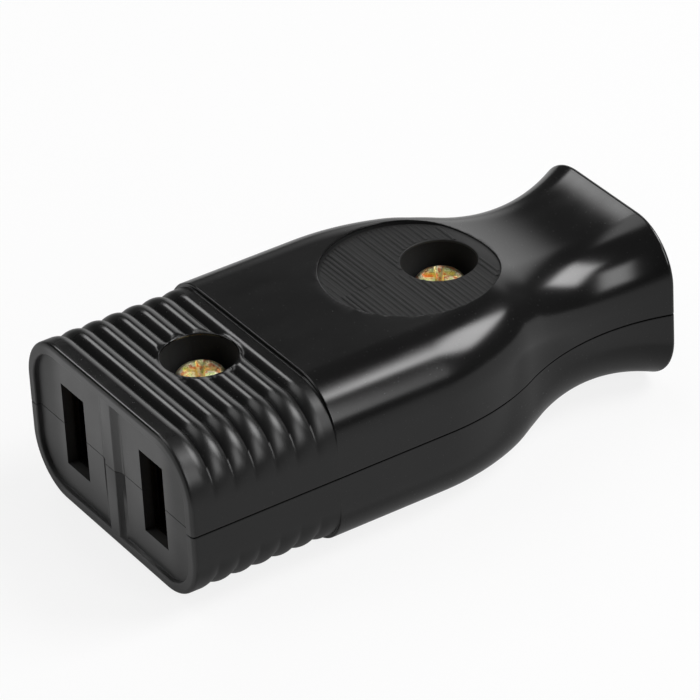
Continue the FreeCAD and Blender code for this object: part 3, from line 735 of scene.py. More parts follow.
@dataclass(frozen=True)
class CaseForm:
    """Outside of the moulded case in millimetres, heights measured from the seam."""

    face: float = -26.0
    tail: float = 26.0
    seam: float = 8.15
    half_width: float = 13.25
    half_height: float = 8.15
    edge_radius: float = 5.0
    end_round: float = 0.4
    end_run: float = 0.6
    end_share: float = 0.3
    seam_round: float = 0.14
    seam_lift: float = 0.004
    seam_slit: float = 0.065
    slit_depth: float = 0.3
    block_end: float = -11.5
    block_height: float = 7.75
    step_round: float = 0.12
    shoulder: float = 0.0
    waist: float = 19.0
    waist_half: float = 8.6
    flare_radius: float = 19.5
    drop: float = 8.0
    dip: float = 18.3
    dip_height: float = 6.75
    dip_radius: float = 22.3
    first_groove: float = -23.55
    groove_pitch: float = 2.03
    grooves: int = 6
    groove_depth: float = 0.45
    groove_fade: float = 0.46
    land_depth: float = 0.14
    land_width: float = 0.45
    land_soft: float = 0.2
    no_land: float = -1.0
    front_rows: int = 4
    groove_rows: int = 14
    body_rows: int = 9
    tail_rows: int = 60
    round_turns: range = range(0, 90, 15)
    seam_turns: tuple[int, ...] = (-90, -60, -30, 0)
    side_rows: int = 6
    edge_rows: int = 24
    coarse_share: float = 0.11
    coarse_rows: int = 4
    crown_rows: int = 23

    @property
    def ridge_radius(self) -> float:
        """Radius of the rounded ridges between the grooves."""
        half = self.groove_pitch / 2
        return (half ** 2 + self.groove_depth ** 2) / (2 * self.groove_depth)

    @staticmethod
    def sweep(y: float, top: float, start: float, low: float, low_at: float, arc: float) -> Pair:
        """Level line that bends down and runs smoothly into a hollow arc.

        Args:
            y: Place along the case.
            top: Level before the bend.
            start: Where the bend begins.
            low: Lowest level of the hollow arc.
            low_at: Where it is lowest.
            arc: Radius of the hollow arc.

        Returns:
            Level and slope at the place.
        """
        if y <= start:
            return top, 0.0
        run, gap = low_at - start, low + arc - top
        bend = (run ** 2 + gap ** 2 - arc ** 2) / (2 * (arc - gap))
        turn = start + run * bend / (bend + arc)
        if y <= turn:
            fall = math.sqrt(bend ** 2 - (y - start) ** 2)
            return top - bend + fall, -(y - start) / fall
        fall = math.sqrt(arc ** 2 - (y - low_at) ** 2)
        return low + arc - fall, (y - low_at) / fall

    def width_at(self, y: float) -> Pair:
        """Half width and its slope along the case."""
        return self.sweep(y, self.half_width, self.shoulder, self.waist_half, self.waist, self.flare_radius)

    def height_at(self, y: float) -> Pair:
        """Height over the seam and its slope along the case."""
        return self.sweep(y, self.half_height, self.drop, self.dip_height, self.dip, self.dip_radius)

    def outside_at(self, x: float, y: float) -> float:
        """Height of the body's outside over the seam at a place behind the block.

        Args:
            x: Place across the case.
            y: Place along the case.

        Returns:
            The height.
        """
        (width, width_slope), (top, slope) = self.width_at(y), self.height_at(y)
        wide, tall = self.edge_radius * math.hypot(1, width_slope), self.edge_radius * math.hypot(1, slope)
        across = min(max((abs(x) - width) / wide + 1, 0.0), 1.0)
        return top - tall * (1 - math.sqrt(1 - across ** 2))

    def row(self, y: float, inset: float = 0.0, height: float | None = None) -> Row:
        """Cross-section at a place, level where a height is given."""
        level = self.height_at(y) if height is None else (height, 0.0)
        return Row(y, inset, *self.width_at(y), *level)

    def rows(self, take_in: float) -> Iterator[Row]:
        """Cross-sections from the face to the tail.

        Args:
            take_in: How far the skin is drawn in at its ends.

        Yields:
            The sections in order.
        """
        low, high, round_off, ease = self.block_height, self.half_height, self.end_round, self.step_round
        turns = [math.radians(angle) for angle in self.round_turns]
        for turn in turns:
            place = round_off * (1 - math.cos(turn))
            drawn = take_in * (1 - place / self.end_run)
            yield self.row(self.face + place + drawn, round_off * (1 - math.sin(turn)), low)
        begin = self.first_groove - self.groove_pitch / 2
        for step in range(self.front_rows):
            place = (begin - self.face - round_off) * step / self.front_rows
            yield self.row(self.face + round_off + place + take_in * self.end_share, 0.0, low)
        count = self.groove_rows * self.grooves
        for step in range(count + 1):
            yield self.row(begin + self.groove_pitch * self.grooves * step / count, 0.0, low)
        step_at = self.block_end + take_in / 2
        for turn in turns:
            yield self.row(step_at - ease * (1 - math.sin(turn)), 0.0, low + ease * (1 - math.cos(turn)))
        for turn in turns:
            yield self.row(step_at + ease * (1 - math.cos(turn)), 0.0, high - ease * (1 - math.sin(turn)))
        for step in range(self.body_rows):
            yield self.row(step_at + ease + (self.shoulder - step_at - ease) * step / self.body_rows)
        run = self.tail - round_off - self.shoulder
        for step in range(self.tail_rows):
            yield self.row(self.shoulder + run * step / self.tail_rows)
        for turn in reversed(turns + [math.pi / 2]):
            place = round_off * (1 - math.cos(turn))
            drawn = take_in * (1 - place / self.end_run)
            yield self.row(self.tail - place - drawn, round_off * (1 - math.sin(turn)))

    def seam_edge(self, width: float, past: float) -> list[SkinPoint]:
        """Points of one cross-section where it meets the seam.

        Args:
            width: Half width of the section.
            past: How far its sides run on past the seam; 0 gives the broken edge and the slit.

        Returns:
            The points as section gives them.
        """
        edge = self.seam_round
        if past:
            levels = [-past * (-angle) / 90 + edge * (1 + angle / 90) for angle in self.seam_turns]
            return [(width, level, 1.0, 0.0, 1.0) for level in levels]
        inner = width - edge - self.slit_depth
        made = [(inner, level, 1.0, 0.0, 1.0) for level in (self.seam_lift, self.seam_slit)]
        for angle in self.seam_turns:
            turn = math.radians(angle)
            level = max(edge * (1 + math.sin(turn)), self.seam_slit)
            made.append((width - edge * (1 - math.cos(turn)), level, 1.0, 0.0, 1.0))
        return made

    def section(self, row: Row, past: float) -> list[SkinPoint]:
        """Points of one cross-section from the right seam over the top to the left seam.

        Args:
            row: The section.
            past: How far its sides run on past the seam.

        Returns:
            X, height, the outward direction's X and height, and how far grooves have faded, for each point.
        """
        wide = self.edge_radius * math.hypot(1, row.width_slope)
        tall = self.edge_radius * math.hypot(1, row.height_slope)
        edge, foot = self.seam_round, row.height - tall
        side = self.seam_edge(row.width, past)
        for step in range(1, self.side_rows):
            side.append((row.width, edge + (foot - edge) * step / self.side_rows, 1.0, 0.0, 1.0))
        for step in range(self.edge_rows + 1):
            turn = math.radians(90 * step / self.edge_rows)
            across, up = math.cos(turn) / wide, math.sin(turn) / tall
            size = math.hypot(across, up)
            fade = self.groove_fade * (1 - math.sin(turn))
            side.append((row.width - wide * (1 - math.cos(turn)), row.height - tall * (1 - math.sin(turn)),
                         across / size, up / size, fade))
        top = row.width - wide
        coarse = self.coarse_share * self.coarse_rows
        shares = [self.coarse_share * step for step in range(1, self.coarse_rows)]
        shares += [coarse + (1 - coarse) * step / self.crown_rows for step in range(self.crown_rows)]
        side += [(top * (1 - share), row.height, 0.0, 1.0, 0.0) for share in shares]
        crown = [(0.0, row.height, 0.0, 1.0, 0.0)]
        return side + crown + [(-x, z, -ax, az, fade) for x, z, ax, az, fade in reversed(side)]

    def pressed(self, graph: Graph, given: dict[str, Value]) -> Value:
        """Press the grip grooves into the skin with Geometry Nodes.

        Args:
            graph: Graph of the tree.
            given: The tree's inputs.

        Returns:
            The ribbed skin.
        """
        away = graph.node("GeometryNodeInputNamedAttribute", {"data_type": "FLOAT_VECTOR"}, {"Name": "away"})
        fade = graph.node("GeometryNodeInputNamedAttribute", {"data_type": "FLOAT"}, {"Name": "fade"})
        x, y, _ = graph.split(graph.node("GeometryNodeInputPosition"))
        pitch, radius = given["Pitch"], given["Ridge Radius"]
        number = ((y - given["First Groove"]) / pitch).rounded().most(0).least(given["Grooves"] - 1)
        aside = abs(y - given["First Groove"] - number * pitch)
        inward = (pitch / 2 - aside).most(0)
        depth = radius - (radius * radius - inward * inward).root()
        sink = depth * (1 - fade / given["Depth"]).most(0)
        from_land = y - given["Land Middle"]
        ribbed = (x * x + from_land * from_land).root().above(given["Land Reach"], self.land_soft)
        sink = given["Land Depth"] + (sink - given["Land Depth"]) * ribbed + given["Draw In"]
        offset = graph.vector_maths("SCALE", {0: away, "Scale": 0 - sink})
        return graph.node("GeometryNodeSetPosition", None, {"Geometry": given["Geometry"], "Offset": offset})

    def skin(self, half: Half, material: Material, draw_in: float = 0.0, past: float = 0.0) -> Object:
        """Closed solid of one half's outside, ribbed and without its hollows.

        Args:
            half: Which half; only the upper one has a land around a screw hole.
            material: Finish of the case.
            draw_in: How far the skin lies inside the true one.
            past: How far it runs on past the seam.

        Returns:
            The solid, in millimetres.
        """
        points: list[Point] = []
        away: list[float] = []
        fade: list[float] = []
        rows = list(self.rows(draw_in))
        for row in rows:
            for x, z, across, up, faded in self.section(row, past):
                level = z - up * row.inset
                points.append((x - across * row.inset, row.y, self.seam + half.value * level))
                away.extend((across, 0.0, half.value * up))
                fade.append(faded)
        wide = len(points) // len(rows)
        right = [row * wide for row in range(len(rows))]
        faces: list[tuple[int, ...]] = []
        for start in right[:-1]:
            for corner in range(start, start + wide - 1):
                faces.append((corner, corner + wide, corner + wide + 1, corner + 1))
        faces.append(tuple(range(wide)))
        faces.append(tuple(range(right[-1] + wide - 1, right[-1] - 1, -1)))
        faces.append(tuple([corner + wide - 1 for corner in right] + right[::-1]))
        made = solid(f"{half.word}_skin", points, faces)
        made.data.attributes.new("away", "FLOAT_VECTOR", "POINT").data.foreach_set("vector", away)
        made.data.attributes.new("fade", "FLOAT", "POINT").data.foreach_set("value", fade)
        land = SCREW_HOLE.radius + self.land_width - self.land_soft
        run_tree(made, "grip_grooves", {
            "First Groove": self.first_groove,
            "Pitch": self.groove_pitch,
            "Grooves": self.grooves,
            "Depth": self.groove_depth,
            "Ridge Radius": self.ridge_radius,
            "Land Middle": SCREW_HOLE.front,
            "Land Reach": land if half is Half.UPPER else self.no_land,
            "Land Depth": self.land_depth,
            "Draw In": draw_in,
            "Material": material,
        }, self.pressed)
        return made


@dataclass(frozen=True)
class FingerPad:
    """Round recess for a finger in each half, with fine ridges across it on the upper one."""

    centre: float = 4.9
    radius: float = 7.9
    floor: float = 7.65
    least_depth: float = 0.14
    lip: float = 0.07
    lip_profile: tuple[Pair, ...] = ((0.0, -1.0), (0.4, -0.34), (1.6, 0.36))
    sides: int = 160
    floor_rings: int = 12
    ridge_pitch: float = 0.5
    ridge_width: float = 0.36
    ridge_height: float = 0.09
    ridge_last: float = 11.4
    ridge_margin: float = 0.25
    ridge_sides: int = 12
    ridge_shift: float = 0.07
    shift_seed: int = 5
    hole_margin: float = 0.2
    least_wear: float = 0.15
    least_width: float = 0.4
    crease: float = 50.0

    def ring(self, half: Half, radius: float, above: float | None) -> list[Point]:
        """Ring of points around the pad's axis.

        Args:
            half: Which half.
            radius: Radius of the ring.
            above: Height over the case's surface; None lays the ring on the pad's floor.

        Returns:
            The points, in millimetres.
        """
        made: list[Point] = []
        for step in range(self.sides if radius else 1):
            angle = math.tau * step / self.sides
            x, y = radius * math.cos(angle), self.centre + radius * math.sin(angle)
            top = CASE.outside_at(x, y)
            level = min(self.floor, top - self.least_depth) - SPARE if above is None else top + above
            made.append((x, y, CASE.seam + half.value * level))
        return made

    def cutter(self, half: Half) -> Object:
        """Body that presses the recess, with a faceted lip and a floor that drops with the tail side.

        Args:
            half: Which half.

        Returns:
            The body, in millimetres.
        """
        wall = self.radius + SPARE
        widest = wall + self.lip * self.lip_profile[-1][0]
        count = self.floor_rings
        rings = [self.ring(half, wall * step / count, None) for step in range(count + 1)]
        rings += [self.ring(half, wall + self.lip * out, self.lip * up) for out, up in self.lip_profile]
        rings += [self.ring(half, radius, 2 * OVERCUT) for radius in (widest, 0.0)]
        return rings_solid("pad_cutter", rings)

    def laid(self, graph: Graph, given: dict[str, Value]) -> Value:
        """Lay ridges across the pad on both sides of the screw hole with Geometry Nodes.

        Args:
            graph: Graph of the tree.
            given: The tree's inputs.

        Returns:
            The ridges.
        """
        line = graph.node("GeometryNodeMeshLine", {"mode": "OFFSET"}, {
            "Count": given["Ridges"], "Start Location": given["Start"], "Offset": given["Pitch"]})
        _, y, _ = graph.split(graph.node("GeometryNodeInputPosition"))
        from_pad, from_hole = y - given["Pad Middle"], y - given["Hole Middle"]
        reach, bore = given["Pad Reach"], given["Hole Reach"]
        outer = (reach * reach - from_pad * from_pad).most(0).root()
        inner = (bore * bore - from_hole * from_hole).most(0).root()
        bar = graph.node("GeometryNodeMeshCylinder", {"fill_type": "NGON"}, {
            "Vertices": self.ridge_sides, "Side Segments": 1, "Radius": 0.5, "Depth": 1.0})
        lying = graph.node("GeometryNodeTransform", None, {
            "Geometry": bar, "Rotation": (0.0, math.pi / 2, 0.0)})
        joined = graph.node("GeometryNodeJoinGeometry")
        for seed, sign in enumerate((1, -1)):
            worn = graph.random(self.least_wear, 1.0, seed)
            aside = graph.random(-self.ridge_shift, self.ridge_shift, seed + self.shift_seed)
            width = given["Width"] * (self.least_width + worn * (1 - self.least_width))
            size = graph.node("ShaderNodeCombineXYZ", None, {
                0: outer - inner, 1: width, 2: given["Height"] * worn * 2})
            offset = graph.node("ShaderNodeCombineXYZ", None, {0: (outer + inner) * (sign / 2), 1: aside})
            row = graph.node("GeometryNodeSetPosition", None, {"Geometry": line, "Offset": offset})
            bars = graph.node("GeometryNodeInstanceOnPoints", None, {
                "Points": row, "Instance": lying, "Scale": size})
            graph.tree.links.new(bars.socket, joined.socket.node.inputs[0])
        return joined

    def ridges(self, material: Material) -> Object:
        """Build the ridges of the upper pad.

        Args:
            material: Finish of the case.

        Returns:
            The finished piece.
        """
        reach = self.radius - self.ridge_margin
        first = self.centre - reach + self.ridge_pitch / 2
        made = new_object("pad_ridges")
        run_tree(made, "pad_ridges", {
            "Ridges": int((self.ridge_last - first) / self.ridge_pitch) + 1,
            "Start": (0.0, first, CASE.seam + self.floor - SPARE),
            "Pitch": (0.0, self.ridge_pitch, 0.0),
            "Pad Middle": self.centre,
            "Pad Reach": reach,
            "Hole Middle": SCREW_HOLE.rear,
            "Hole Reach": SCREW_HOLE.radius + self.hole_margin,
            "Width": self.ridge_width,
            "Height": self.ridge_height,
            "Material": material,
        }, self.laid)
        finish_piece(made, material, self.crease)
        return made


def lip_points(radius: float, level: float, size: float, steps: int = 6) -> list[Pair]:
    """Quarter round that opens a hole out to the surface around it.

    Args:
        radius: Radius of the hole.
        level: Level of the surface.
        size: Radius of the quarter round.
        steps: Number of its chords.

    Returns:
        Radius and level of each point, from the wall to the surface.
    """
    return [(radius + size * (1 - math.cos(turn)), level - size * (1 - math.sin(turn)))
            for turn in quarter(steps)]


@dataclass(frozen=True)
class ScrewHole:
    """Counterbores of the upper half for the case screw heads."""

    front: float = -16.5
    rear: float = 8.0
    radius: float = 3.35
    seat: float = 4.4
    lip: float = 0.12

    def cutter(self, place: float, level: float) -> Object:
        """Body that cuts one counterbore.

        Args:
            place: Where along the case.
            level: Height of the surface that it opens in.

        Returns:
            The body, in millimetres.
        """
        wall, seat, over = self.radius + SPARE, self.seat - SPARE, level + 2 * OVERCUT
        outline = [(0.0, seat), (wall, seat), *lip_points(wall, level, self.lip)]
        outline += [(wall + self.lip, over), (0.0, over)]
        profile = [(radius, CASE.seam + height) for radius, height in outline]
        return turned("screw_hole_cutter", profile, (0.0, place, 0.0))


@dataclass(frozen=True)
class SocketFace:
    """Recessed face inside the rim, and the flared mouth of the cord inlet at the other end."""

    rim: float = 1.1
    depth: float = 0.45
    lip: float = 0.16
    fillet: float = 0.1
    fillet_rows: int = 5
    corner_rows: int = 16
    seam_gap: float = 0.035
    seam_depth: float = 0.25
    bar: Pair = (0.7, 1.9)
    bar_height: float = 0.42
    bar_gap: float = 0.004
    bar_margin: float = 0.6
    bar_rows: int = 12
    inlet: float = 4.0
    inlet_end: float = 5.6
    mouth: float = 0.9
    throat: tuple[Pair, ...] = ((0.0, -0.12), (0.05, 0.02), (0.14, 0.12))
    brim: tuple[Pair, ...] = ((-0.1, -0.12), (0.0, -0.045), (0.12, -0.005), (0.2, 0.0))

    @property
    def floor(self) -> float:
        """Where the floor of the recess lies along the case."""
        return CASE.face + self.depth + SPARE

    def outline(self, grow: float) -> list[Pair]:
        """Rounded rectangle inside the rim.

        Args:
            grow: How far it is pushed outwards.

        Returns:
            X and height over the seam of each point.
        """
        wide = CASE.half_width - self.rim + grow
        tall = CASE.block_height - self.rim + grow
        corner = CASE.edge_radius - self.rim + grow
        made: list[Pair] = []
        for turned_by, (right, up) in enumerate(((1, 1), (-1, 1), (-1, -1), (1, -1))):
            for step in range(self.corner_rows + 1):
                turn = math.pi / 2 * (turned_by + step / self.corner_rows)
                made.append((right * (wide - corner) + corner * math.cos(turn),
                             up * (tall - corner) + corner * math.sin(turn)))
        return made

    def recess_cutter(self) -> Object:
        """Body that cuts the recess, with a rounded lip and floor edge.

        Returns:
            The body, in millimetres.
        """
        stages: list[Pair] = [(CASE.face - OVERCUT, self.lip + SPARE)]
        for grow, level in reversed(lip_points(0.0, 0.0, self.lip)):
            stages.append((CASE.face - level, grow + SPARE))
        for turn in quarter(self.fillet_rows):
            stages.append((self.floor - self.fillet * (1 - math.sin(turn)),
                           SPARE - self.fillet * (1 - math.cos(turn))))
        rings = [[(x, y, CASE.seam + z) for x, z in self.outline(grow)] for y, grow in stages]
        made = rings_solid("recess_cutter", rings)
        carve(made, self.middle_bar())
        return made

    def middle_bar(self) -> Object:
        """Upright bar with hollow flanks that stands between the two slots.

        Returns:
            The body, in millimetres.
        """
        floor = self.floor + self.bar_gap
        crest, foot = self.bar
        shares = [step / self.bar_rows for step in range(self.bar_rows + 1)]
        flank = [(crest + (foot - crest) * share, floor - self.bar_height * (1 - share) ** 2)
                 for share in shares]
        outline = [(-x, y) for x, y in reversed(flank)] + flank
        outline += [(foot, floor + OVERCUT), (-foot, floor + OVERCUT)]
        reach = CASE.block_height - self.bar_margin
        rings = [[(x, y, CASE.seam + side * reach) for x, y in outline] for side in (-1, 1)]
        return rings_solid("middle_bar", rings)

    def seam_cutter(self) -> Object:
        """Thin slab that shows the parting seam across the face and its rim.

        Returns:
            The body, in millimetres.
        """
        reach = CASE.half_width + OVERCUT
        stages = (CASE.face - OVERCUT, CASE.face + self.depth + self.seam_depth)
        rings = [[(a * reach, y, CASE.seam + b * self.seam_gap) for a, b in CORNERS] for y in stages]
        return rings_solid("seam_cutter", rings)

    def mouth_cutter(self) -> Object:
        """Body that opens the cord inlet and flares it at the tail.

        Returns:
            The body, in millimetres.
        """
        bore, tail = self.inlet + SPARE, CASE.tail
        wide, deep = bore + self.mouth, tail - self.inlet_end
        profile = [(0.0, deep), (bore, deep)]
        profile += [(bore + out, tail - self.mouth + back) for out, back in self.throat]
        profile += [(wide + out, tail + back) for out, back in self.brim]
        profile += [(profile[-1][0], tail + OVERCUT), (0.0, tail + OVERCUT)]
        return turned("mouth_cutter", profile, (0.0, 0.0, CASE.seam), "Y")


CASE = CaseForm()
PAD = FingerPad()
SCREW_HOLE = ScrewHole()
FACE = SocketFace()


@dataclass(frozen=True)
class CaseHalf:
    """One moulding of the case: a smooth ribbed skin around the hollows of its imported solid."""

    half: Half
    finish: Material
    draw_in: float = 0.2
    past: float = 1.0
    crease: float = 24.0

    def cutters(self) -> list[Object]:
        """Bodies that open the outside: pad, counterbores, socket face and cord inlet.

        Returns:
            The bodies, in millimetres.
        """
        made = [PAD.cutter(self.half), FACE.recess_cutter(), FACE.mouth_cutter(), FACE.seam_cutter()]
        if self.half is Half.UPPER:
            made.append(SCREW_HOLE.cutter(SCREW_HOLE.front, CASE.block_height - CASE.land_depth))
            made.append(SCREW_HOLE.cutter(SCREW_HOLE.rear, PAD.floor - SPARE))
        return made

    def hollows(self) -> Object:
        """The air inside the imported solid, as a body in millimetres."""
        air = CASE.skin(self.half, self.finish, self.draw_in, self.past)
        air.name = f"{self.half.word}_air"
        carve(air, cad_copy(f"{self.half.word}_shell"), FACE.middle_bar())
        return air

    def build(self) -> None:
        """Build, dress and hand over the moulding."""
        piece = CASE.skin(self.half, self.finish)
        piece.name = f"{self.half.word}_case_moulding"
        carve(piece, *self.cutters(), self.hollows())
        keep_main(piece)
        for name in ("away", "fade"):
            if name in piece.data.attributes:
                piece.data.attributes.remove(piece.data.attributes[name])
        finish_piece(piece, self.finish, self.crease)
        hand_over(piece, f"{self.half.word}_case", "case_plastic", f"{self.half.word}_shell")


class Drive(Enum):
    """Recess in the head of a screw."""

    CROSS = "cross"
    SLOT = "slot"


@dataclass(frozen=True)
class ThreadForm:
    """Rolled thread on a screw shank, in millimetres."""

    crest: float
    core: float
    pitch: float
    start: float
    length: float
    ridge_share: float = 0.62
    ridge_sides: int = 6
    turn_steps: int = 28

    def swept(self, graph: Graph, given: dict[str, Value]) -> Value:
        """Sweep a ridge along a helix with Geometry Nodes.

        Args:
            graph: Graph of the tree.
            given: The tree's inputs.

        Returns:
            The ridge.
        """
        helix = graph.node("GeometryNodeCurveSpiral", None, {
            "Resolution": self.turn_steps, "Rotations": given["Turns"], "Start Radius": given["Radius"],
            "End Radius": given["Radius"], "Height": given["Length"]})
        ridge = graph.node("GeometryNodeCurvePrimitiveCircle", {"mode": "RADIUS"}, {
            "Resolution": self.ridge_sides, "Radius": given["Ridge"]})
        bent = graph.node("GeometryNodeCurveToMesh", None, {
            "Curve": helix, "Profile Curve": ridge, "Fill Caps": True})
        return graph.node("GeometryNodeTransform", None, {"Geometry": bent, "Translation": given["Foot"]})

    def ridge(self, foot: Point, material: Material) -> Object:
        """Build the thread's ridge.

        Args:
            foot: The thread's lower end on the screw's axis.
            material: Finish of the screw.

        Returns:
            The ridge as an object in millimetres.
        """
        size = (self.crest - self.core) * self.ridge_share
        made = new_object("thread_ridge")
        run_tree(made, "screw_thread", {
            "Turns": self.length / self.pitch,
            "Radius": self.crest - size,
            "Length": self.length,
            "Ridge": size,
            "Foot": foot,
            "Material": material,
        }, self.swept)
        return made


@dataclass(frozen=True)
class Screw:
    """A screw that stands upright: pan head, driver recess, shank and thread, in millimetres."""

    node: str
    body: str
    slot: str
    drive: Drive
    x: float
    y: float
    seat: float
    head_radius: float
    head_height: float
    shank_length: float
    point: float
    thread: ThreadForm
    rim_height: float = 0.75
    rim_ease: float = 0.1
    recess_depth: float = 1.1
    recess_span: float = 3.0
    recess_width: float = 0.9
    tip_share: float = 0.35
    neck: Pair = (0.2, 0.25)
    head_edge: tuple[Pair, ...] = ((-0.12, 0.0), (-0.03, 0.04), (0.0, 0.13))
    crown_flat: float = 0.42
    crown_rows: int = 8
    sides: int = 64
    slot_draft: float = 0.94
    slot_edge: float = 0.08
    cross_angle: float = 58.0
    cross_foot: Pair = (0.32, 0.55)
    cross_mouth: tuple[Point, ...] = ((0.1, 0.96, 1.0), (0.0, 1.04, 1.2), (-OVERCUT, 1.04, 1.2))
    cross_share: float = 0.8
    crease: float = 35.0

    @property
    def top(self) -> float:
        """Height of the head's top."""
        return self.seat + self.head_height

    def blank(self) -> Object:
        """Head, neck and shank as one turned body.

        Returns:
            The body, in millimetres.
        """
        tip, core = self.seat - self.shank_length, self.thread.core
        shoulder, (widen, fall) = self.seat + self.rim_height, self.neck
        profile: list[Pair] = [(0.0, tip), (core * self.tip_share, tip), (core, tip + self.point),
                               (core, self.seat - fall), (core + widen, self.seat)]
        profile += [(self.head_radius + out, self.seat + up) for out, up in self.head_edge]
        profile.append((self.head_radius, shoulder - self.rim_ease))
        flat, crown = self.head_radius * self.crown_flat, self.top - shoulder
        for turn in quarter(self.crown_rows):
            radius = flat + (self.head_radius - flat) * math.cos(turn)
            profile.append((radius, shoulder + crown * math.sin(turn)))
        profile.append((0.0, self.top))
        return turned(self.node, profile, (self.x, self.y, 0.0), sides=self.sides)

    def slot_cutter(self) -> Object:
        """Body that cuts a straight slot across the head.

        Returns:
            The body, in millimetres.
        """
        half, reach = self.recess_width / 2, self.head_radius + OVERCUT
        wide = half + self.slot_edge
        stages = ((self.top - self.recess_depth, half * self.slot_draft), (self.top - self.slot_edge, half),
                  (self.top, wide), (self.top + OVERCUT, wide))
        rings = [[(self.x + a * reach, self.y + b * across, z) for a, b in CORNERS] for z, across in stages]
        return rings_solid("slot_cutter", rings)

    def cross_cutter(self, angle: float) -> Object:
        """Body that cuts one bar of the cross recess, narrower towards its foot.

        Args:
            angle: Direction of the bar in degrees.

        Returns:
            The body, in millimetres.
        """
        turn = math.radians(angle)
        along = Vector((math.cos(turn), math.sin(turn), 0.0))
        across = Vector((-along.y, along.x, 0.0))
        rings: list[list[Point]] = []
        for depth, span, wide in ((self.recess_depth, *self.cross_foot), *self.cross_mouth):
            reach, half = self.recess_span / 2 * span, self.recess_width / 2 * wide
            spot = Vector((self.x, self.y, self.top - depth))
            rings.append([tuple(spot + along * (a * reach) + across * (b * self.cross_share * half))
                          for a, b in CORNERS])
        return rings_solid("cross_cutter", rings)

    def recess(self) -> list[Object]:
        """Bodies that cut the driver recess."""
        if self.drive is Drive.SLOT:
            return [self.slot_cutter()]
        return [self.cross_cutter(self.cross_angle + turn) for turn in (0, 90)]

    def build(self, material: Material) -> None:
        """Build, dress and hand over the screw.

        Args:
            material: Its finish.
        """
        piece = self.blank()
        carve(piece, *self.recess())
        foot = (self.x, self.y, self.seat - self.thread.start - self.thread.length)
        carve(piece, self.thread.ridge(foot, material), keep="UNION")
        piece.name = f"{self.node}_turned"
        finish_piece(piece, material, self.crease)
        hand_over(piece, self.body, self.slot, self.node)


CASE_THREAD = ThreadForm(crest=1.45, core=1.12, pitch=0.9, start=2.4, length=5.8)
TERMINAL_THREAD = ThreadForm(crest=1.45, core=1.2, pitch=0.5, start=0.3, length=1.6)
TERMINAL_HEAD = 1.7


def case_screw(which: str, y: float) -> Screw:
    """One of the two case screws."""
    return Screw(f"{which}_case_screw", f"{which}_screw", "case_screw", Drive.CROSS, 0.0, y,
                 CASE.seam + SCREW_HOLE.seat, head_radius=2.3, head_height=1.8, shank_length=10.0,
                 point=1.6, thread=CASE_THREAD)


def terminal_screw(which: str) -> Screw:
    """One of the two terminal screws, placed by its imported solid.

    Args:
        which: Side, left or right.

    Returns:
        The screw.
    """
    low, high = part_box(f"{which}_terminal_screw")
    x, y = (low[0] + high[0]) / 2 / MM, (low[1] + high[1]) / 2 / MM
    return Screw(f"{which}_terminal_screw", f"{which}_terminal", "terminal_screw", Drive.SLOT, x, y,
                 high[2] / MM - TERMINAL_HEAD, head_radius=2.6, head_height=TERMINAL_HEAD, shank_length=2.3,
                 point=0.3, thread=TERMINAL_THREAD, rim_height=0.9, recess_depth=0.9, recess_width=0.8)


@dataclass(frozen=True)
class Contacts:
    """The two folded brass contacts, kept as packed."""

    nodes: tuple[str, str] = ("left_contact", "right_contact")

    def dress(self, material: Material) -> None:
        """Give the contacts their finish.

        Args:
            material: Rolled brass.
        """
        for node in self.nodes:
            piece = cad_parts[node]
            piece.data.materials.clear()
            piece.data.materials.append(material)
            log.info("%s: packed solid, rolled brass", node)


def pointing(azimuth: float, elevation: float) -> Vector:
    """Direction away from the case; azimuth 0 is in front of the face and 90 to its right."""
    turn, rise = math.radians(azimuth), math.radians(elevation)
    return Vector((math.sin(turn) * math.cos(rise), -math.cos(turn) * math.cos(rise), math.sin(rise)))


@dataclass(frozen=True)
class Lamp:
    """A soft rectangular light, placed around the case by direction, in metres."""

    name: str
    azimuth: float
    elevation: float
    width: float
    height: float
    radiance: float
    distance: float = 0.8
    soft: float = 0.25

    def place(self) -> None:
        """Add the light, facing the case and fading out towards its edges."""
        back = pointing(self.azimuth, self.elevation)
        data = bpy.data.lights.new(self.name, "AREA")
        data.shape = "RECTANGLE"
        data.size, data.size_y = self.width, self.height
        data.energy = self.radiance * math.pi * self.width * self.height
        data.use_nodes = True
        graph = Graph(data.node_tree)
        x, y, _ = graph.split(graph.node("ShaderNodeNewGeometry", output="Parametric"))
        edge = abs(x - 0.5).most(abs(y - 0.5)) * 2
        glow = graph.node("ShaderNodeEmission", None, {"Strength": edge.below(1 - self.soft, self.soft)})
        graph.node("ShaderNodeOutputLight", None, {"Surface": glow})
        made = bpy.data.objects.new(self.name, data)
        made.location = back * self.distance
        made.rotation_euler = back.to_track_quat("Z", "Y").to_euler()
        made.visible_camera = False
        bpy.context.scene.collection.objects.link(made)


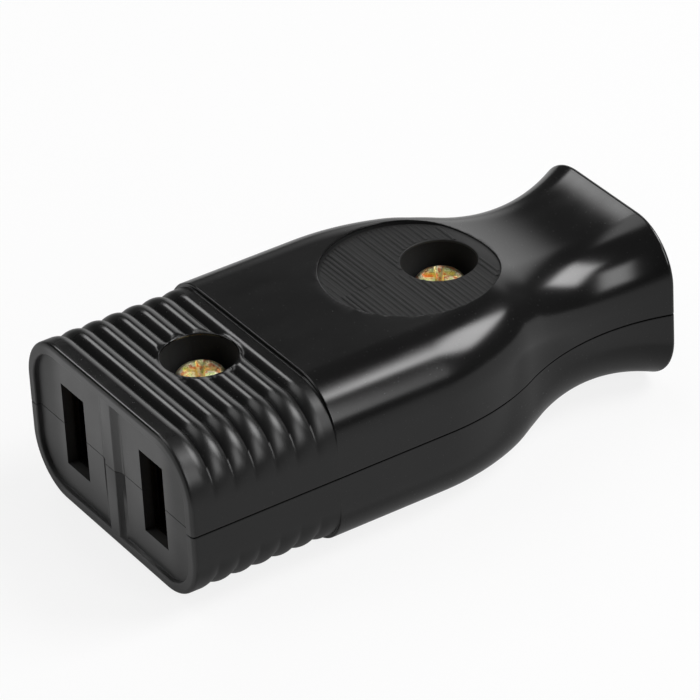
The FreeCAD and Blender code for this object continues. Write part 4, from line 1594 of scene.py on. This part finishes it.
@dataclass(frozen=True)
class Studio:
    """White table, soft lamps and the camera, which stands at eye, in millimetres."""

    eye: Point = (312.503, -194.795, 246.732)
    azimuth: float = 58.266
    elevation: float = 32.761
    roll: float = -3.268
    lens: float = 260.67
    sensor: float = 36.0
    clip: Pair = (0.01, 20.0)
    floor_reach: float = 3.0
    floor_level: float = 0.95
    bounce_level: float = 0.2
    # painted shade: share of white at which the table shows in reflections
    gloss_share: float = 0.45
    shadow_share: float = 0.16
    close_margin: float = 3.0
    close_edge: Pair = (1.0, 0.1)
    close_share: float = 0.5
    near_lean: float = 0.9
    near_edge: Pair = (80.0, 50.0)
    front_edge: Pair = (-2.0, 4.0)
    room: float = 0.05
    backdrop: float = 1.1
    backdrop_azimuth: float = -142.0
    backdrop_elevation: float = 12.0
    backdrop_edge: Pair = (0.93, 0.05)
    lamps: tuple[Lamp, ...] = (
        Lamp("key_softbox", 156.0, 48.0, 0.52, 0.48, 9.5),
        Lamp("side_softbox", 106.0, 31.0, 0.39, 0.56, 4.5),
        Lamp("overhead_softbox", -75.0, 66.0, 0.70, 0.55, 1.7),
        Lamp("rib_softbox", -99.5, 43.7, 0.09, 0.085, 4.5, 0.31),
        Lamp("front_fill", -30.0, 20.0, 0.45, 0.45, 2.4),
    )

    def camera(self) -> None:
        """Add the camera at the photograph's viewing angle."""
        back, roll = pointing(self.azimuth, self.elevation), math.radians(self.roll)
        right = Vector((math.cos(math.radians(self.azimuth)), math.sin(math.radians(self.azimuth)), 0.0))
        up = back.cross(right)
        across = right * math.cos(roll) + up * math.sin(roll)
        upright = up * math.cos(roll) - right * math.sin(roll)
        data = bpy.data.cameras.new("camera")
        data.sensor_width = self.sensor
        data.lens = self.lens
        data.clip_start, data.clip_end = self.clip
        made = bpy.data.objects.new("camera", data)
        turn = Matrix((across, upright, back)).transposed().to_4x4()
        made.matrix_world = Matrix.Translation(Vector(self.eye) * MM) @ turn
        bpy.context.scene.collection.objects.link(made)
        bpy.context.scene.camera = made

    def floor_finish(self) -> Material:
        """White table top that keeps the soft shadow; in reflections it is painted dimmer than full white,
        with a painted contact shadow beside and under the case and painted shade fading out towards the
        right and the front, but full white in front of the face.

        Returns:
            The material.
        """
        material, graph = shader_graph("white_table")
        camera = graph.node("ShaderNodeLightPath", output="Is Camera Ray")
        mirrored = camera.other("Is Glossy Ray").most(camera.other("Is Transmission Ray"))
        x, y, _ = graph.split(object_mm(graph))
        # painted shadow: beside and under the case the table is mirrored darker
        across = abs(x) / (CASE.half_width + self.close_margin)
        close = across.most(abs(y) / (CASE.tail + self.close_margin)).below(*self.close_edge)
        # painted shade: the mirrored table fades out towards the right and the front
        near = (x - y * self.near_lean).below(*self.near_edge)
        # in front of the face the table is mirrored at full white; elsewhere it is painted dimmer at
        # gloss_share
        front = (y - CASE.face).below(*self.front_edge)
        share = self.gloss_share + front * (1 - self.gloss_share)
        mirrored = mirrored * near * (1 - close * self.close_share) * share
        lit = graph.node("ShaderNodeBsdfDiffuse", None, {
            "Color": graph.mix(camera, grey(self.bounce_level), grey(self.floor_level))})
        white = graph.node("ShaderNodeEmission", None, {"Color": grey(1.0), "Strength": 1.0})
        mixed = graph.node("ShaderNodeMixShader", None, {
            0: camera * (1 - self.shadow_share) + mirrored, 1: lit, 2: white})
        graph.node("ShaderNodeOutputMaterial", None, {"Surface": mixed})
        return material

    def floor(self) -> None:
        """Add the table top."""
        mesh = bpy.data.meshes.new("table_top")
        corners = [(a * self.floor_reach, b * self.floor_reach, 0) for a, b in CORNERS]
        mesh.from_pydata(corners, [], [range(len(corners))])
        mesh.materials.append(self.floor_finish())
        new_object("table_top", mesh)

    def world(self) -> None:
        """Dim room with a pale backdrop behind the case."""
        world = bpy.data.worlds.new("studio")
        bpy.context.scene.world = world
        world.use_nodes = True
        graph = Graph(world.node_tree)
        direction = graph.node("ShaderNodeTexCoord", output="Generated")
        middle = pointing(self.backdrop_azimuth, self.backdrop_elevation)
        facing = graph.vector_maths("DOT_PRODUCT", {0: direction, 1: middle}, "Value")
        colour = graph.mix(facing.above(*self.backdrop_edge), grey(self.room), grey(self.backdrop))
        glow = graph.node("ShaderNodeBackground", None, {"Color": colour, "Strength": 1.0})
        graph.node("ShaderNodeOutputWorld", None, {"Surface": glow})

    def build(self) -> None:
        """Add everything around the case."""
        bpy.context.scene.view_settings.view_transform = "Standard"
        self.camera()
        self.floor()
        self.world()
        for lamp in self.lamps:
            lamp.place()
        log.info("studio: %d lamps", len(self.lamps))


def main() -> None:
    """Build the case, the screws, the contacts and the studio."""
    logging.basicConfig(level=logging.INFO, format="%(name)s: %(message)s")
    plastic = MouldedPlastic().material()
    yellow = PlatedSteel("case_screw", colour=(1.0, 0.94, 0.72), shade=(0.94, 0.74, 0.26),
                         green=(0.72, 0.84, 0.32), red=(0.88, 0.26, 0.08))
    bright = PlatedSteel("terminal_screw", colour=(0.66, 0.66, 0.64), shade=(0.52, 0.52, 0.52),
                         green=(0.60, 0.62, 0.64), red=(0.66, 0.62, 0.56))
    brass = RolledBrass().material()
    Studio().build()
    for half in Half:
        CaseHalf(half, plastic).build()
    hand_over(PAD.ridges(plastic), "upper_case", "case_plastic")
    plating = yellow.material()
    case_screw("front", SCREW_HOLE.front).build(plating)
    case_screw("rear", SCREW_HOLE.rear).build(plating)
    plating = bright.material()
    for which in ("left", "right"):
        terminal_screw(which).build(plating)
    Contacts().dress(brass)


if __name__ == "__main__":
    main()
